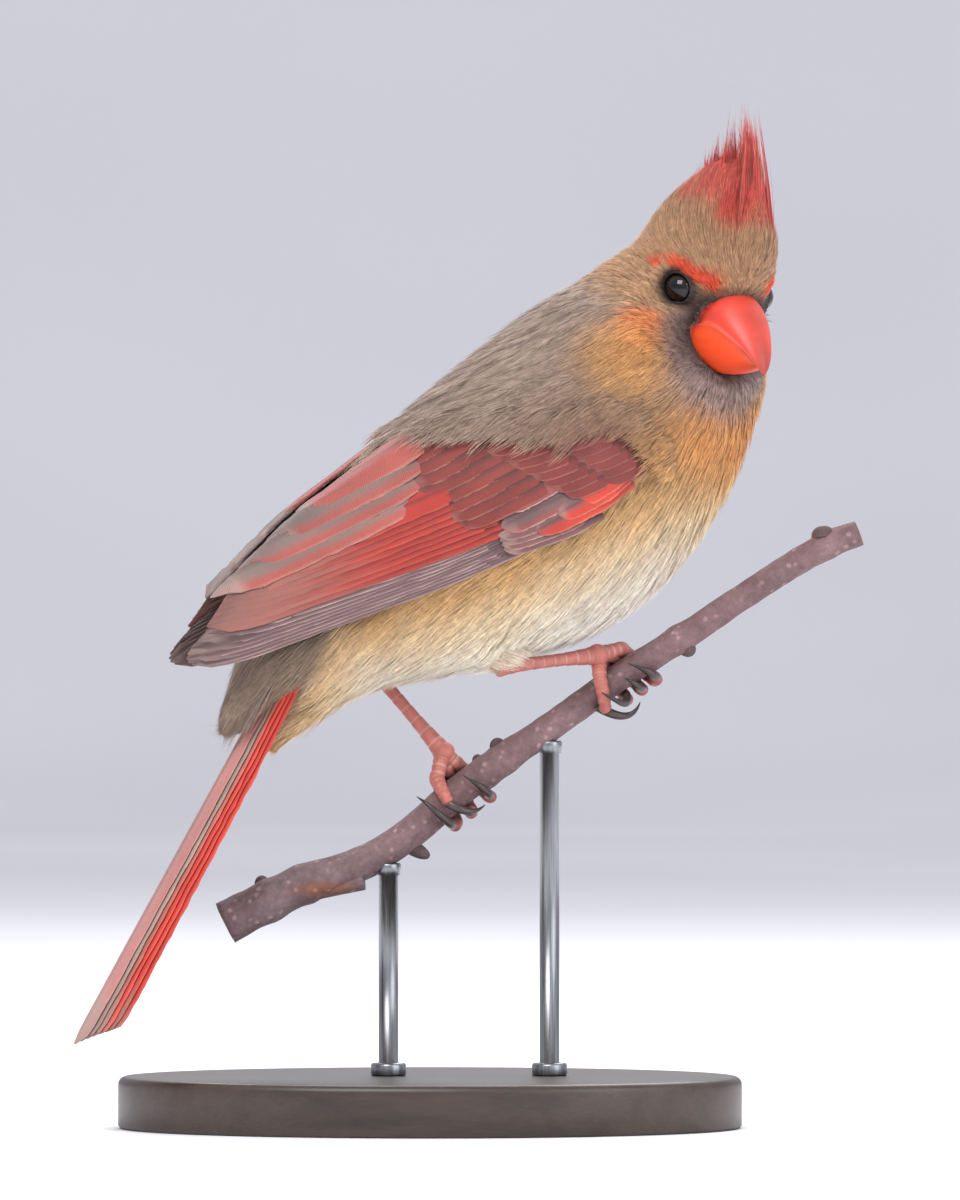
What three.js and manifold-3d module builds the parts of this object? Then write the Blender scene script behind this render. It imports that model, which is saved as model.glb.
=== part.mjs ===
// A life-size female northern cardinal gripping a cut length of branch, on a plain display stand.
// Millimetres, +Z up. The viewer stands on the -Y side; the bird's front points to +X and a little away.
// The origin is the middle of the underside of the stand's base.
import * as THREE from "three";
import { ConvexGeometry } from "three/addons/geometries/ConvexGeometry.js";
import { mergeVertices } from "three/addons/utils/BufferGeometryUtils.js";
import Module from "manifold-3d";

const wasm = await Module();
wasm.setup();

const GAP = 0.3; // space between neighbouring solids
const TAU = Math.PI * 2;
const deg = THREE.MathUtils.degToRad;

// Driving dimensions of the stand and the perch
const BASE = { halfX: 60, halfY: 40, height: 10, bevel: 1.2, centreX: 2 };
const ROD_RADIUS = 1.9;
const RODS_X = [-8, 23];
const PERCH_Y = 2;

// Driving dimensions of the body: its axis rises from tail to neck and points a little away from the viewer
const BODY = { origin: [7.7, 0, 118.8], rise: deg(38.5), yaw: deg(12) };
// distance along the axis, top, bottom, half width
const TORSO = [
  [-50, 6, -12.5, 8],
  [-37, 13.5, -15, 12],
  [-22, 19, -23, 17],
  [-7, 21.8, -30.2, 21],
  [10, 23, -35, 23.2],
  [27, 23, -33.9, 22.6],
  [44, 21.8, -28, 20],
  [54, 19.6, -24.5, 17],
];
const TORSO_ENDS = { rear: -30, front: 42 };
// Round shapes that the neck reaches, as [centre, radius]: two in the head's frame, one in the body's
const NECK = {
  start: 1,
  inHead: [[[-15, -1.5, 2.5], 7.4], [[-11, 2, -5], 7.5]],
  throat: [[52.8, 1.5, -9.5], 12.2],
};

// Driving dimensions of the head: height above the eye line, front, back, half width
const HEAD = { centre: [55.9, 2.5, 160.2], yaw: deg(60), pitch: deg(18), roll: deg(5) };
const HEAD_LEVELS = [
  [-18.5, 2, -10, 6],
  [-16, 3.8, -15, 10.5],
  [-11, 4.8, -18.5, 13.6],
  [-5, 6.6, -20, 15.2],
  [1, 8.8, -21, 15.4],
  [7, 11, -21, 13.9],
  [13, 10.8, -19.3, 11.4],
  [19, 7.6, -16, 7.6],
  [24, 3.4, -12, 4],
  [26.5, 0.5, -9, 1.8],
];
const EYE = { at: [-0.6, 8.4, 0.5], radius: 3.4, forward: deg(24), lidRadius: 3.2, lidTube: 0.45 };
const BILL_RAISE = 1;

// Driving dimensions of the wing: distance along it from the wrist, height of the back above
// its lower edge, half width
const WING = { wrist: [35, 124.6], fall: deg(23.7) };
const WING_FORM = [
  [-6, 35, 20],
  [10, 32, 23],
  [26, 28, 24.4],
  [45, 23.3, 21],
  [60, 19.6, 17],
  [75, 13.6, 12.6],
  [92, 6.5, 8.4],
];

const VANE = 0.6; // thickness of a flight feather

// Half width of a vane along its length, as shares of the widest; coverts are shorter and need fewer steps
const COVERT_SHAPE = [
  [0, 0.7],
  [0.72, 1],
  [1, 0.3],
];
const VANE_SHAPE = [
  [0, 0.6],
  [0.45, 1],
  [0.85, 0.82],
  [1, 0.16],
];

// Wing feathers, lowest first: root and tip as [distance along the wing, height above its lower edge],
// the step from one feather to the next, half width, and how far each lies above the wing's form
const FLIGHT = {
  primaries: {
    shape: VANE_SHAPE, count: 9, root: [14, -2.5], rootStep: [0.8, 0.55], tip: [90, 0.6], tipStep: [0, 0.62],
    tipFall: [0.28, 1.5], half: 2.7, lift: 0.3, liftStep: 0.12,
  },
  secondaries: {
    shape: VANE_SHAPE, count: 6, root: [14, 2.5], rootStep: [3, 2], tip: [82, 6.4], tipStep: [-1.2, 0.95],
    tipFall: [0, 0], half: 3, lift: 1.3, liftStep: 0.16,
  },
  tertials: {
    shape: VANE_SHAPE, count: 3, root: [29, 15.4], rootStep: [-0.5, 3.4],
    tip: [79, 11.8], tipStep: [-9, 3.4],
    tipFall: [0, 0], half: 4.2, lift: 2.2, liftStep: 0.3,
  },
  primaryCoverts: {
    shape: COVERT_SHAPE, count: 3, root: [6, -1], rootStep: [1, 1.2], tip: [25.4, -3], tipStep: [1.7, 1.5],
    tipFall: [0, 0], half: 2, lift: 1.2, liftStep: 0.2,
  },
  greaterCoverts: {
    shape: COVERT_SHAPE, count: 6, root: [8, 4], rootStep: [2, 3.3], tip: [40, 1.4], tipStep: [0, 3.25],
    tipFall: [0.56, 5], half: 2.9, lift: 2.1, liftStep: 0.12,
  },
  alula: {
    shape: VANE_SHAPE, count: 2, root: [2, 1], rootStep: [-1, 2], tip: [22.3, -1.1], tipStep: [-10, 2],
    tipFall: [0, 0], half: 2.6, lift: 1.9, liftStep: 0.35,
  },
  medianCoverts: {
    shape: COVERT_SHAPE, count: 4, root: [-5, 6.4], rootStep: [3.4, 3.5],
    tip: [2.6, 2.8], tipStep: [3.6, 3.5],
    tipFall: [0, 0], half: 3, lift: 2.7, liftStep: 0.1,
  },
};
// Half width of a tail feather along its length
const TAIL_SHAPE = [
  [0, 3.4],
  [0.4, 4.9],
  [0.93, 4.7],
  [1, 1.6],
];
const TAIL = {
  root: [-23.8, 93.8], tip: [-66.2, 16], roll: deg(-2), pairs: 6,
  rootSpread: 0.7, tipSpread: 1.05, drop: 0.44, shorter: 0.9, arch: 0.02,
};

// Crest feathers stand in rows from front to back; places are in the head's frame
const CREST = {
  rows: 6, columns: [-1, 0, 1], rootFront: 6.5, rootBack: -12, rootHeight: 11, rootSide: 3.4,
  tipFront: [-5.4, 37.4], tipBack: [-21.5, 22], tipSide: 1.5, half: 1.7,
  rootThickness: 2, tipThickness: 0.6,
};

const v3 = (x, y, z) => new THREE.Vector3(x, y, z);
const lerp = THREE.MathUtils.lerp;

// Smooth curve through a short table of rows [station, value, value, ...]
function readTable(table, station) {
  const last = table.length - 1;
  let i = table.findIndex((row) => row[0] > station) - 1;
  if (i === -2) i = last - 1;
  i = Math.max(0, Math.min(last - 1, i));
  const [a, b] = [table[i], table[i + 1]];
  const t = (station - a[0]) / (b[0] - a[0]);
  const slope = (k, c) => {
    const lo = table[Math.max(0, k - 1)];
    const hi = table[Math.min(last, k + 1)];
    return (hi[c] - lo[c]) / (hi[0] - lo[0]);
  };
  return a.slice(1).map((_, n) => {
    const c = n + 1;
    const span = b[0] - a[0];
    const [t2, t3] = [t * t, t * t * t];
    return (
      a[c] * (2 * t3 - 3 * t2 + 1) +
      slope(i, c) * span * (t3 - 2 * t2 + t) +
      b[c] * (3 * t2 - 2 * t3) +
      slope(i + 1, c) * span * (t3 - t2)
    );
  });
}

// Closed geometry through rings of equally many points, each end closed by a fan
function loft(rings) {
  const n = rings[0].length;
  const points = rings.flat();
  const centre = (ring) => ring.reduce((s, p) => s.add(p), v3(0, 0, 0)).divideScalar(n);
  points.push(centre(rings[0]), centre(rings.at(-1)));
  const [first, last] = [points.length - 2, points.length - 1];
  const index = [];
  for (let r = 0; r < rings.length - 1; r++)
    for (let i = 0; i < n; i++) {
      const [a, b] = [r * n + i, r * n + ((i + 1) % n)];
      index.push(a, b, b + n, a, b + n, a + n);
    }
  const end = (rings.length - 1) * n;
  for (let i = 0; i < n; i++) {
    const j = (i + 1) % n;
    index.push(first, j, i, last, end + i, end + j);
  }
  const geometry = new THREE.BufferGeometry().setFromPoints(points);
  geometry.setIndex(index);
  return geometry;
}

// A three.js geometry as a solid, turned right side out
function solid(geometry, matrix) {
  const bare = geometry.clone();
  bare.deleteAttribute("normal");
  bare.deleteAttribute("uv");
  if (matrix) bare.applyMatrix4(matrix);
  const merged = mergeVertices(bare, 1e-4);
  const triVerts = new Uint32Array(merged.index.array);
  const vertProperties = merged.attributes.position.array;
  const made = new wasm.Manifold(new wasm.Mesh({ numProp: 3, vertProperties, triVerts }));
  if (made.volume() > 0) return made;
  for (let i = 0; i < triVerts.length; i += 3)
    [triVerts[i + 1], triVerts[i + 2]] = [triVerts[i + 2], triVerts[i + 1]];
  return new wasm.Manifold(new wasm.Mesh({ numProp: 3, vertProperties, triVerts }));
}

const join = (solids) => solids.reduce((sum, s) => sum.add(s));
const cut = (from, ...tools) => tools.reduce((left, s) => left.subtract(s), from);

function largest(made) {
  return made.decompose().reduce((best, s) => (s.volume() > best.volume() ? s : best));
}

// A slab across the body axis, from one station to another
function bodySlab(from, to) {
  const reach = 200;
  const slab = new THREE.BoxGeometry(to - from, reach, reach);
  return solid(slab.translate((from + to) / 2, 0, 0), bodyMatrix);
}

// Frames
const bodyMatrix = new THREE.Matrix4()
  .makeTranslation(...BODY.origin)
  .multiply(new THREE.Matrix4().makeRotationZ(BODY.yaw))
  .multiply(new THREE.Matrix4().makeRotationY(-BODY.rise));

const headMatrix = new THREE.Matrix4()
  .makeTranslation(...HEAD.centre)
  .multiply(new THREE.Matrix4().makeRotationZ(-HEAD.yaw))
  .multiply(new THREE.Matrix4().makeRotationY(HEAD.pitch))
  .multiply(new THREE.Matrix4().makeRotationX(-HEAD.roll));

// A point of the side view, given as X and Z, moved sideways out of the body's middle plane;
// left is positive
function sidePoint(x, z, left) {
  const forward = (x - BODY.origin[0]) / Math.cos(BODY.yaw);
  const flat = v3(forward, left, z - BODY.origin[2]);
  return flat.applyAxisAngle(v3(0, 0, 1), BODY.yaw).add(v3(...BODY.origin));
}

// Torso, neck and rump are lengths of one form
function bodyRing(station, grow, sides = 24) {
  const [top, bottom, half] = readTable(TORSO, station);
  const [middle, tall] = [(top + bottom) / 2, (top - bottom) / 2 + grow];
  return Array.from({ length: sides }, (_, i) => {
    const a = (i / sides) * TAU;
    const up = Math.sin(a);
    const lowFull = 1 + 0.05 * Math.max(0, -up) * Math.abs(Math.cos(a));
    const point = v3(station, (half + grow) * Math.cos(a) * lowFull, middle + tall * up);
    return point.applyMatrix4(bodyMatrix);
  });
}

function bodyForm(grow) {
  const rings = [];
  const steps = 17;
  const [from, to] = [TORSO[0][0], TORSO.at(-1)[0]];
  for (let i = 0; i <= steps; i++) rings.push(bodyRing(lerp(from, to, i / steps), grow));
  return solid(loft(rings));
}

// Points all over a ball, for the skin that three.js stretches round the neck
function ballPoints([centre, radius], matrix) {
  const ball = new THREE.SphereGeometry(radius, 14, 9).translate(...centre).applyMatrix4(matrix);
  const places = ball.getAttribute("position");
  return Array.from({ length: places.count }, (_, i) => v3(0, 0, 0).fromBufferAttribute(places, i));
}

// The neck is a convex form round the torso's front ring and balls inside the head and the throat
function neckForm() {
  const from = TORSO_ENDS.front + GAP;
  const points = [...bodyRing(from, 0), ...bodyRing(from + NECK.start, 0)];
  NECK.inHead.forEach((ball) => points.push(...ballPoints(ball, headMatrix)));
  points.push(...ballPoints(NECK.throat, bodyMatrix));
  return solid(new ConvexGeometry(points)).intersect(bodySlab(from, 120));
}

function headForm(grow) {
  const rings = [];
  const steps = 14;
  const [from, to] = [HEAD_LEVELS[0][0], HEAD_LEVELS.at(-1)[0]];
  const sides = 22;
  for (let r = 0; r <= steps; r++) {
    const level = lerp(from, to, r / steps);
    const [front, back, half] = readTable(HEAD_LEVELS, level);
    const middle = lerp(front, back, 0.6);
    rings.push(
      Array.from({ length: sides }, (_, i) => {
        const a = (i / sides) * TAU;
        const c = Math.cos(a);
        const along = c > 0 ? (front - middle + grow) * c : (middle - back + grow) * c;
        const narrow = c > 0 ? 1 - 0.36 * c ** 1.5 : 1;
        return v3(middle + along, (half + grow) * Math.sin(a) * narrow, level).applyMatrix4(headMatrix);
      }),
    );
  }
  rings[0].forEach((p) => p.add(headUp.clone().multiplyScalar(-grow)));
  return solid(loft(rings));
}

const headUp = v3(0, 0, 1).transformDirection(headMatrix);

function sphereAt(centre, radius, detail, matrix) {
  return solid(new THREE.SphereGeometry(radius, detail, detail / 2).translate(...centre), matrix);
}

// Eyes, each on its own side; side is 1 for the bird's left and -1 for its right
function eyeCentre(side) {
  return [EYE.at[0], side * EYE.at[1], EYE.at[2]];
}

function lidRing(side, grow) {
  const ring = new THREE.TorusGeometry(EYE.lidRadius, EYE.lidTube + grow, 6, 18);
  const facing = v3(Math.sin(EYE.forward), side * Math.cos(EYE.forward), 0);
  const turn = new THREE.Quaternion().setFromUnitVectors(v3(0, 0, 1), facing);
  const out = Math.sqrt((EYE.radius + GAP + 0.3) ** 2 - EYE.lidRadius ** 2);
  ring.applyQuaternion(turn).translate(...facing.multiplyScalar(out).add(v3(...eyeCentre(side))));
  return solid(ring, headMatrix);
}

// Bill halves in the head's frame: distance forward, ridge height, lower edge height, half width
const UPPER_BILL = [
  [3, 2.6, -7, 6.6],
  [6, 2.3, -5.6, 6.6],
  [9, 1.5, -4.9, 6],
  [12, -0.2, -5.3, 5.2],
  [15, -2.4, -6.3, 4.1],
  [18, -5.2, -7.6, 2.8],
  [20.2, -7.8, -9.2, 1.5],
  [21.4, -9.6, -10.4, 0.4],
];
const LOWER_BILL = [
  [1, -8, -14.2, 6.6],
  [3.5, -7, -14.6, 6.9],
  [6, -5.9, -14.7, 6.8],
  [9, -5.2, -14.2, 6.3],
  [12, -5.6, -13.2, 5.3],
  [15, -6.6, -12, 4],
  [18, -7.9, -10.6, 2.4],
  [19.6, -8.9, -9.7, 1],
];

function billHalf(table, flatTop, grow) {
  const steps = 8;
  const sides = 12;
  const rings = [];
  for (let r = 0; r <= steps; r++) {
    const along = lerp(table[0][0], table.at(-1)[0], r / steps);
    const [top, bottom, half] = readTable(table, along);
    rings.push(
      Array.from({ length: sides }, (_, i) => {
        const a = (i / sides) * TAU;
        const round = Math.sin(a);
        const flatSide = flatTop ? Math.max(round, 0) : Math.min(round, 0);
        const height = flatSide === round ? round * 0.12 : round;
        const base = flatTop ? top : bottom;
        const z = base + height * (top - bottom) + BILL_RAISE;
        return v3(along, (half + grow) * Math.cos(a), z + grow * round);
      }),
    );
  }
  return solid(loft(rings), headMatrix);
}

const MATERIALS = {
  buff: new THREE.MeshStandardMaterial({ color: 0xb39a7c, roughness: 0.9 }),
  face: new THREE.MeshStandardMaterial({ color: 0xa98f70, roughness: 0.9 }),
  wing: new THREE.MeshStandardMaterial({ color: 0xa85a50, roughness: 0.7 }),
  tail: new THREE.MeshStandardMaterial({ color: 0xb4645a, roughness: 0.7 }),
  bill: new THREE.MeshStandardMaterial({ color: 0xf0503a, roughness: 0.35 }),
  eye: new THREE.MeshStandardMaterial({ color: 0x120e0c, roughness: 0.05 }),
  skin: new THREE.MeshStandardMaterial({ color: 0xc97f72, roughness: 0.6 }),
  claw: new THREE.MeshStandardMaterial({ color: 0x5b5250, roughness: 0.4 }),
  bark: new THREE.MeshStandardMaterial({ color: 0x6b5450, roughness: 0.9 }),
  stand: new THREE.MeshStandardMaterial({ color: 0x2f2a27, roughness: 0.5 }),
  rod: new THREE.MeshStandardMaterial({ color: 0x8b8d90, roughness: 0.3, metalness: 1 }),
};

const model = new THREE.Group();

// Adds a solid as a named mesh, placed by the middle of its own box
function addNode(name, made, material) {
  const { vertProperties, triVerts, numProp } = largest(made).getMesh();
  const position = new Float32Array((vertProperties.length / numProp) * 3);
  for (let i = 0; i < position.length / 3; i++)
    for (let k = 0; k < 3; k++) position[3 * i + k] = vertProperties[numProp * i + k];
  const geometry = new THREE.BufferGeometry();
  geometry.setAttribute("position", new THREE.BufferAttribute(position, 3));
  geometry.setIndex(new THREE.BufferAttribute(new Uint32Array(triVerts), 1));
  geometry.computeBoundingBox();
  const centre = geometry.boundingBox.getCenter(v3(0, 0, 0));
  geometry.translate(-centre.x, -centre.y, -centre.z);
  const mesh = new THREE.Mesh(geometry, material);
  mesh.name = name;
  mesh.position.copy(centre);
  model.add(mesh);
  return made;
}

// Tube along points, with a radius at each point
function tube(points, radii, sides) {
  const rings = [];
  let normal = null;
  points.forEach((p, i) => {
    const next = points[Math.min(i + 1, points.length - 1)];
    const tangent = next.clone().sub(points[Math.max(i - 1, 0)]).normalize();
    if (!normal) normal = Math.abs(tangent.y) < 0.9 ? v3(0, 1, 0) : v3(1, 0, 0);
    normal = normal.sub(tangent.clone().multiplyScalar(normal.dot(tangent))).normalize();
    const side = tangent.clone().cross(normal);
    rings.push(
      Array.from({ length: sides }, (_, k) => {
        const a = (k / sides) * TAU;
        const out = normal.clone().multiplyScalar(Math.cos(a)).add(side.clone().multiplyScalar(Math.sin(a)));
        return p.clone().add(out.multiplyScalar(radii[i]));
      }),
    );
  });
  return solid(loft(rings));
}

// Perch: X, Z and radius of the branch's centre line
const PERCH = [
  [-39.4, 39.4, 4.1],
  [-31, 43.6, 3.9],
  [-23, 47.2, 3.7],
  [-14, 50.4, 3.3],
  [-5, 55.8, 3.1],
  [4, 63.6, 3.05],
  [14, 70.8, 2.9],
  [26, 79, 2.7],
  [36, 86.4, 2.7],
  [50, 95.4, 2.6],
  [64, 104.6, 2.5],
  [76, 111.8, 2.6],
  [82.6, 114.4, 2.4],
];
const PERCH_STEPS = 19;

function perchAt(x) {
  const [z, radius] = readTable(PERCH, x);
  return { centre: v3(x, PERCH_Y, z), radius };
}

function perchForm(grow, sides = 10) {
  const points = [];
  const radii = [];
  const [from, to] = [PERCH[0][0], PERCH.at(-1)[0]];
  for (let i = 0; i <= PERCH_STEPS; i++) {
    const { centre, radius } = perchAt(lerp(from, to, i / PERCH_STEPS));
    points.push(centre);
    radii.push(radius + grow);
  }
  return tube(points, radii, sides);
}

// Buds and knots on the perch: X, angle round the branch, length, radius
const BUDS = [
  [14.4, 8, 1.3, 1.6],
  [10.6, 4, 0.8, 1.1],
  [-5, 175, 2.8, 1.4],
  [76.5, 0, 1.2, 2.2],
  [48, 178, 1.4, 1.6],
  [-31, 8, 1.2, 1.4],
];

function branchFrame(x) {
  const { centre, radius } = perchAt(x);
  const along = perchAt(x + 1).centre.sub(perchAt(x - 1).centre).normalize();
  const up = v3(-along.z, 0, along.x);
  return { centre, radius, along, up, away: v3(0, 1, 0) };
}

// A point beside the branch: angle 0 is on its upper side, 90 on the far side, 180 below,
// -90 on the near side
function besideBranch(x, angle, distance, shift = 0) {
  const f = branchFrame(x);
  const out = f.up.clone().multiplyScalar(Math.cos(deg(angle)));
  out.add(f.away.clone().multiplyScalar(Math.sin(deg(angle))));
  const spot = f.centre.clone().add(out.multiplyScalar(f.radius + distance));
  return spot.add(f.along.clone().multiplyScalar(shift));
}

function budForm([x, angle, length, radius]) {
  const root = besideBranch(x, angle, -0.8);
  const tip = besideBranch(x, angle, length, length * 0.6);
  const points = [0, 0.35, 0.7, 1].map((t) => root.clone().lerp(tip, t));
  return tube(points, [radius, radius * 1.05, radius * 0.8, radius * 0.25], 8);
}

function forkStub() {
  const root = besideBranch(-24, 150, -3);
  const points = [0, 0.4, 1].map((t) => root.clone().add(v3(11, -1, 1.6).multiplyScalar(t)));
  return tube(points, [2.9, 2.4, 2.1], 10);
}

// Legs and feet. Each side: heel, foot joint, place on the branch, and toes.
// A toe wraps the branch from one angle and shift along it to another; its claw has a bend and a tip,
// each given as shift along the branch, angle round it and height above the bark.
const LEGS = {
  right: {
    heel: [11, 88.6, -9],
    joint: [32.2, -0.4, 90.9],
    thighTop: [2, 99, -8],
    x: 36.5,
    toes: [
      { shift: [3.2, 5.8], angle: [12, 212], bend: [5.6, 245, 2.4], tip: [2.7, 286, 2.2] },
      { shift: [1.2, 2.3], angle: [10, 202], bend: [1.9, 238, 2.6], tip: [0.6, 262, 2] },
      { shift: [-1.2, -1.3], angle: [10, 192], bend: [-2.2, 225, 4], tip: [-4.6, 266, 4] },
      { shift: [-2, -6], angle: [-25, -148], bend: [-3.2, -175, 6.2], tip: [0.5, -158, 4] },
    ],
  },
  left: {
    heel: [-12, 91.5, 9],
    joint: [2.6, 2.6, 72.2],
    thighTop: [-14, 99, 8],
    x: 3.85,
    toes: [
      { shift: [5, 6.3], angle: [12, 208], bend: [6.4, 245, 2.6], tip: [4.7, 292, 2] },
      { shift: [3, 1.2], angle: [10, 205], bend: [0.4, 222, 1.2], tip: [-0.6, 238, 1.1] },
      { shift: [0.6, -2.9], angle: [10, 207], bend: [-3.4, 262, 3.4], tip: [-4.8, 318, 2.6] },
      { shift: [0.3, -0.8], angle: [-25, -98], bend: [0.3, -135, 4.4], tip: [4.4, -150, 3] },
    ],
  },
};
const TOE_RADIUS = 1.25;
const TOE_RISE = TOE_RADIUS + GAP + 0.2;
const CLAW_RADIUS = 0.9;
const TARSUS_RADIUS = 1.35;
const JOINT_RADIUS = 2.2;

function footForm(leg, grow) {
  const pieces = [sphereAt(leg.joint, JOINT_RADIUS + grow, 10)];
  const steps = 8;
  leg.toes.forEach((toe) => {
    const path = [v3(...leg.joint)];
    const radii = [TOE_RADIUS * 1.2 + grow];
    for (let i = 0; i <= steps; i++) {
      const t = i / steps;
      path.push(besideBranch(leg.x, lerp(...toe.angle, t), TOE_RISE, lerp(...toe.shift, t)));
      radii.push(TOE_RADIUS * (1.06 - 0.12 * t + 0.08 * (i % 2)) * (i === steps ? 0.75 : 1) + grow);
    }
    pieces.push(tube(path, radii, 6));
  });
  return join(pieces);
}

function clawForm(leg, toe) {
  const steps = 7;
  const points = [];
  const radii = [];
  const root = [toe.shift[1], toe.angle[1], TOE_RISE];
  for (let i = 0; i <= steps; i++) {
    const t = i / steps;
    const part = (n) => (1 - t) ** 2 * root[n] + 2 * t * (1 - t) * toe.bend[n] + t * t * toe.tip[n];
    points.push(besideBranch(leg.x, part(1), part(2), part(0)));
    radii.push(lerp(CLAW_RADIUS, 0.16, t ** 0.9));
  }
  return tube(points, radii, 6);
}

function tarsusForm(leg) {
  const heel = sidePoint(...leg.heel);
  const joint = v3(...leg.joint);
  const points = Array.from({ length: 7 }, (_, i) => heel.clone().lerp(joint, i / 6));
  return tube(points, [1.9, 1.45, 1.25, 1.2, 1.25, 1.5, 1.9].map((r) => (r * TARSUS_RADIUS) / 1.35), 10);
}

function thighForm(leg) {
  const top = sidePoint(...leg.thighTop);
  const heel = sidePoint(...leg.heel);
  const points = Array.from({ length: 6 }, (_, i) => top.clone().lerp(heel, i / 5));
  return tube(points, [8, 7.6, 6.8, 5.6, 4.2, 2.7], 14);
}

// Wing form: a point on the surface that the folded wing lies on, from the distance along it
// and the angle up the side
const wingAlong = v3(-Math.cos(WING.fall), 0, -Math.sin(WING.fall));
const wingUp = v3(-Math.sin(WING.fall), 0, Math.cos(WING.fall));

function wingPoint(side, along, angle, lift) {
  const [tall, wide] = readTable(WING_FORM, along);
  const height = (tall + lift) * Math.sin(angle);
  const x = WING.wrist[0] + wingAlong.x * along + wingUp.x * height;
  const z = WING.wrist[1] + wingAlong.z * along + wingUp.z * height;
  return sidePoint(x, z, side * (wide + lift) * Math.cos(angle));
}

// Closed thin strip through rows of four corners [top a, top b, bottom b, bottom a],
// cut into triangles the same way on both faces so that it keeps its thickness where it bends
function blade(rows) {
  const index = [0, 2, 1, 0, 3, 2];
  for (let r = 0; r < rows.length - 1; r++) {
    const [a, b, c, d] = [0, 1, 2, 3].map((k) => 4 * r + k);
    const [e, f, g, h] = [0, 1, 2, 3].map((k) => 4 * r + 4 + k);
    index.push(a, b, f, a, f, e, d, g, c, d, h, g);
    index.push(b, c, g, b, g, f, a, h, d, a, e, h);
  }
  const z = 4 * (rows.length - 1);
  index.push(z, z + 1, z + 2, z, z + 2, z + 3);
  const geometry = new THREE.BufferGeometry().setFromPoints(rows.flat());
  geometry.setIndex(index);
  return solid(geometry);
}

// Repeatable draw from -1 to 1 for each feather
function draw(seed) {
  const wave = Math.sin(seed * 127.1 + 11.7) * 43758.5453;
  return 2 * (wave - Math.floor(wave)) - 1;
}

// A wing feather lies on the wing's form, its lower edge proud of the feather below it
function wingFeather(side, group, root, tip, lift) {
  const run = Math.hypot(tip[0] - root[0], tip[1] - root[1]);
  const [ds, dt] = [(tip[0] - root[0]) / run, (tip[1] - root[1]) / run];
  const rows = group.shape.map(([t, share]) => {
    const [s, h] = [lerp(root[0], tip[0], t), lerp(root[1], tip[1], t)];
    const wide = group.half * share;
    const settle = lift * (t === 0 ? 0.35 : 1 - 0.2 * t);
    const corner = (across, raise) => wingSpot(side, s - dt * across, h + ds * across, settle + raise);
    return [corner(wide, VANE - 0.15), corner(-wide, VANE + 0.25), corner(-wide, 0.25), corner(wide, -0.15)];
  });
  return blade(side > 0 ? rows : rows.map(([a, b, c, d]) => [b, a, d, c]));
}

function wingSpot(side, along, height, lift) {
  const [tall] = readTable(WING_FORM, along);
  const angle = Math.asin(Math.max(-0.95, Math.min(0.97, height / tall)));
  return wingPoint(side, along, angle, lift);
}

// Core of the wing under its coverts: lower edge, upper edge and thickness at each distance along it
const WING_CORE = [
  [-5, 1, 9, 0.8],
  [0, -2.5, 15, 2],
  [8, -4, 21, 2.6],
  [18, -4.4, 24, 2.4],
  [30, -4, 23, 2],
  [42, -3, 20, 1.2],
  [48, -1.5, 17, 0.6],
];

// Soft shoulder feathers that cover the roots of the coverts and of the inmost flight feathers
const SCAPULARS = [
  [-7, 12, 19, 0.5],
  [0, 12.5, 26, 2.4],
  [10, 14, 28, 3.3],
  [21, 17, 27, 3.4],
  [34, 21, 24.5, 2.4],
];

function leaf(side, table, inner, steps) {
  const across = 5;
  const rings = [];
  for (let r = 0; r <= steps; r++) {
    const along = lerp(table[0][0], table.at(-1)[0], r / steps);
    const [low, high, thick] = readTable(table, along);
    const ring = [];
    for (let i = 0; i <= across; i++) {
      const share = i / across;
      const lift = 0.4 + thick * Math.sin(share * Math.PI) ** 0.8;
      ring.push(wingSpot(side, along, lerp(low, high, share), lift));
    }
    for (let i = across; i >= 0; i--) ring.push(wingSpot(side, along, lerp(low, high, i / across), inner));
    rings.push(ring);
  }
  return solid(loft(rings));
}

function wingForm(side) {
  const pieces = [leaf(side, WING_CORE, -2.5, 7), leaf(side, SCAPULARS, -2.5, 5)];
  for (const group of Object.values(FLIGHT))
    for (let i = 0; i < group.count; i++) {
      const [fall, from] = group.tipFall;
      const root = [0, 1].map((k) => group.root[k] + i * group.rootStep[k]);
      const tip = [0, 1].map((k) => group.tip[k] + i * group.tipStep[k]);
      tip[0] -= fall * (i - from) ** 2;
      pieces.push(wingFeather(side, group, root, tip, group.lift + i * group.liftStep));
    }
  return join(pieces);
}

// The closed tail: pairs of feathers stacked like a shallow roof, the middle pair on top
function tailForm() {
  const root = sidePoint(TAIL.root[0], TAIL.root[1], 0);
  const tip = sidePoint(TAIL.tip[0], TAIL.tip[1], 0);
  const length = root.distanceTo(tip);
  const along = tip.clone().sub(root).normalize();
  const across = v3(0, 1, 0).applyAxisAngle(v3(0, 0, 1), BODY.yaw).applyAxisAngle(along, TAIL.roll);
  const back = across.clone().cross(along).normalize();
  const spot = (run, aside, raise) =>
    root
      .clone()
      .add(along.clone().multiplyScalar(run))
      .add(across.clone().multiplyScalar(aside))
      .add(back.clone().multiplyScalar(raise - TAIL.arch * aside * aside));
  const pieces = [];
  for (let pair = 0; pair < TAIL.pairs; pair++)
    for (const side of [1, -1]) {
      const reach = length - TAIL.shorter * pair;
      const raise = 1.4 - TAIL.drop * pair - (side > 0 ? 0.2 : 0);
      const rows = TAIL_SHAPE.map(([t, wide]) => {
        const middle = side * (0.5 + pair * lerp(TAIL.rootSpread, TAIL.tipSpread, t));
        const corner = (aside, lift) => spot(reach * t, middle + aside, raise + lift);
        return [corner(wide, VANE), corner(-wide, VANE), corner(-wide, 0), corner(wide, 0)];
      });
      pieces.push(blade(rows));
    }
  return join(pieces);
}

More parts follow.
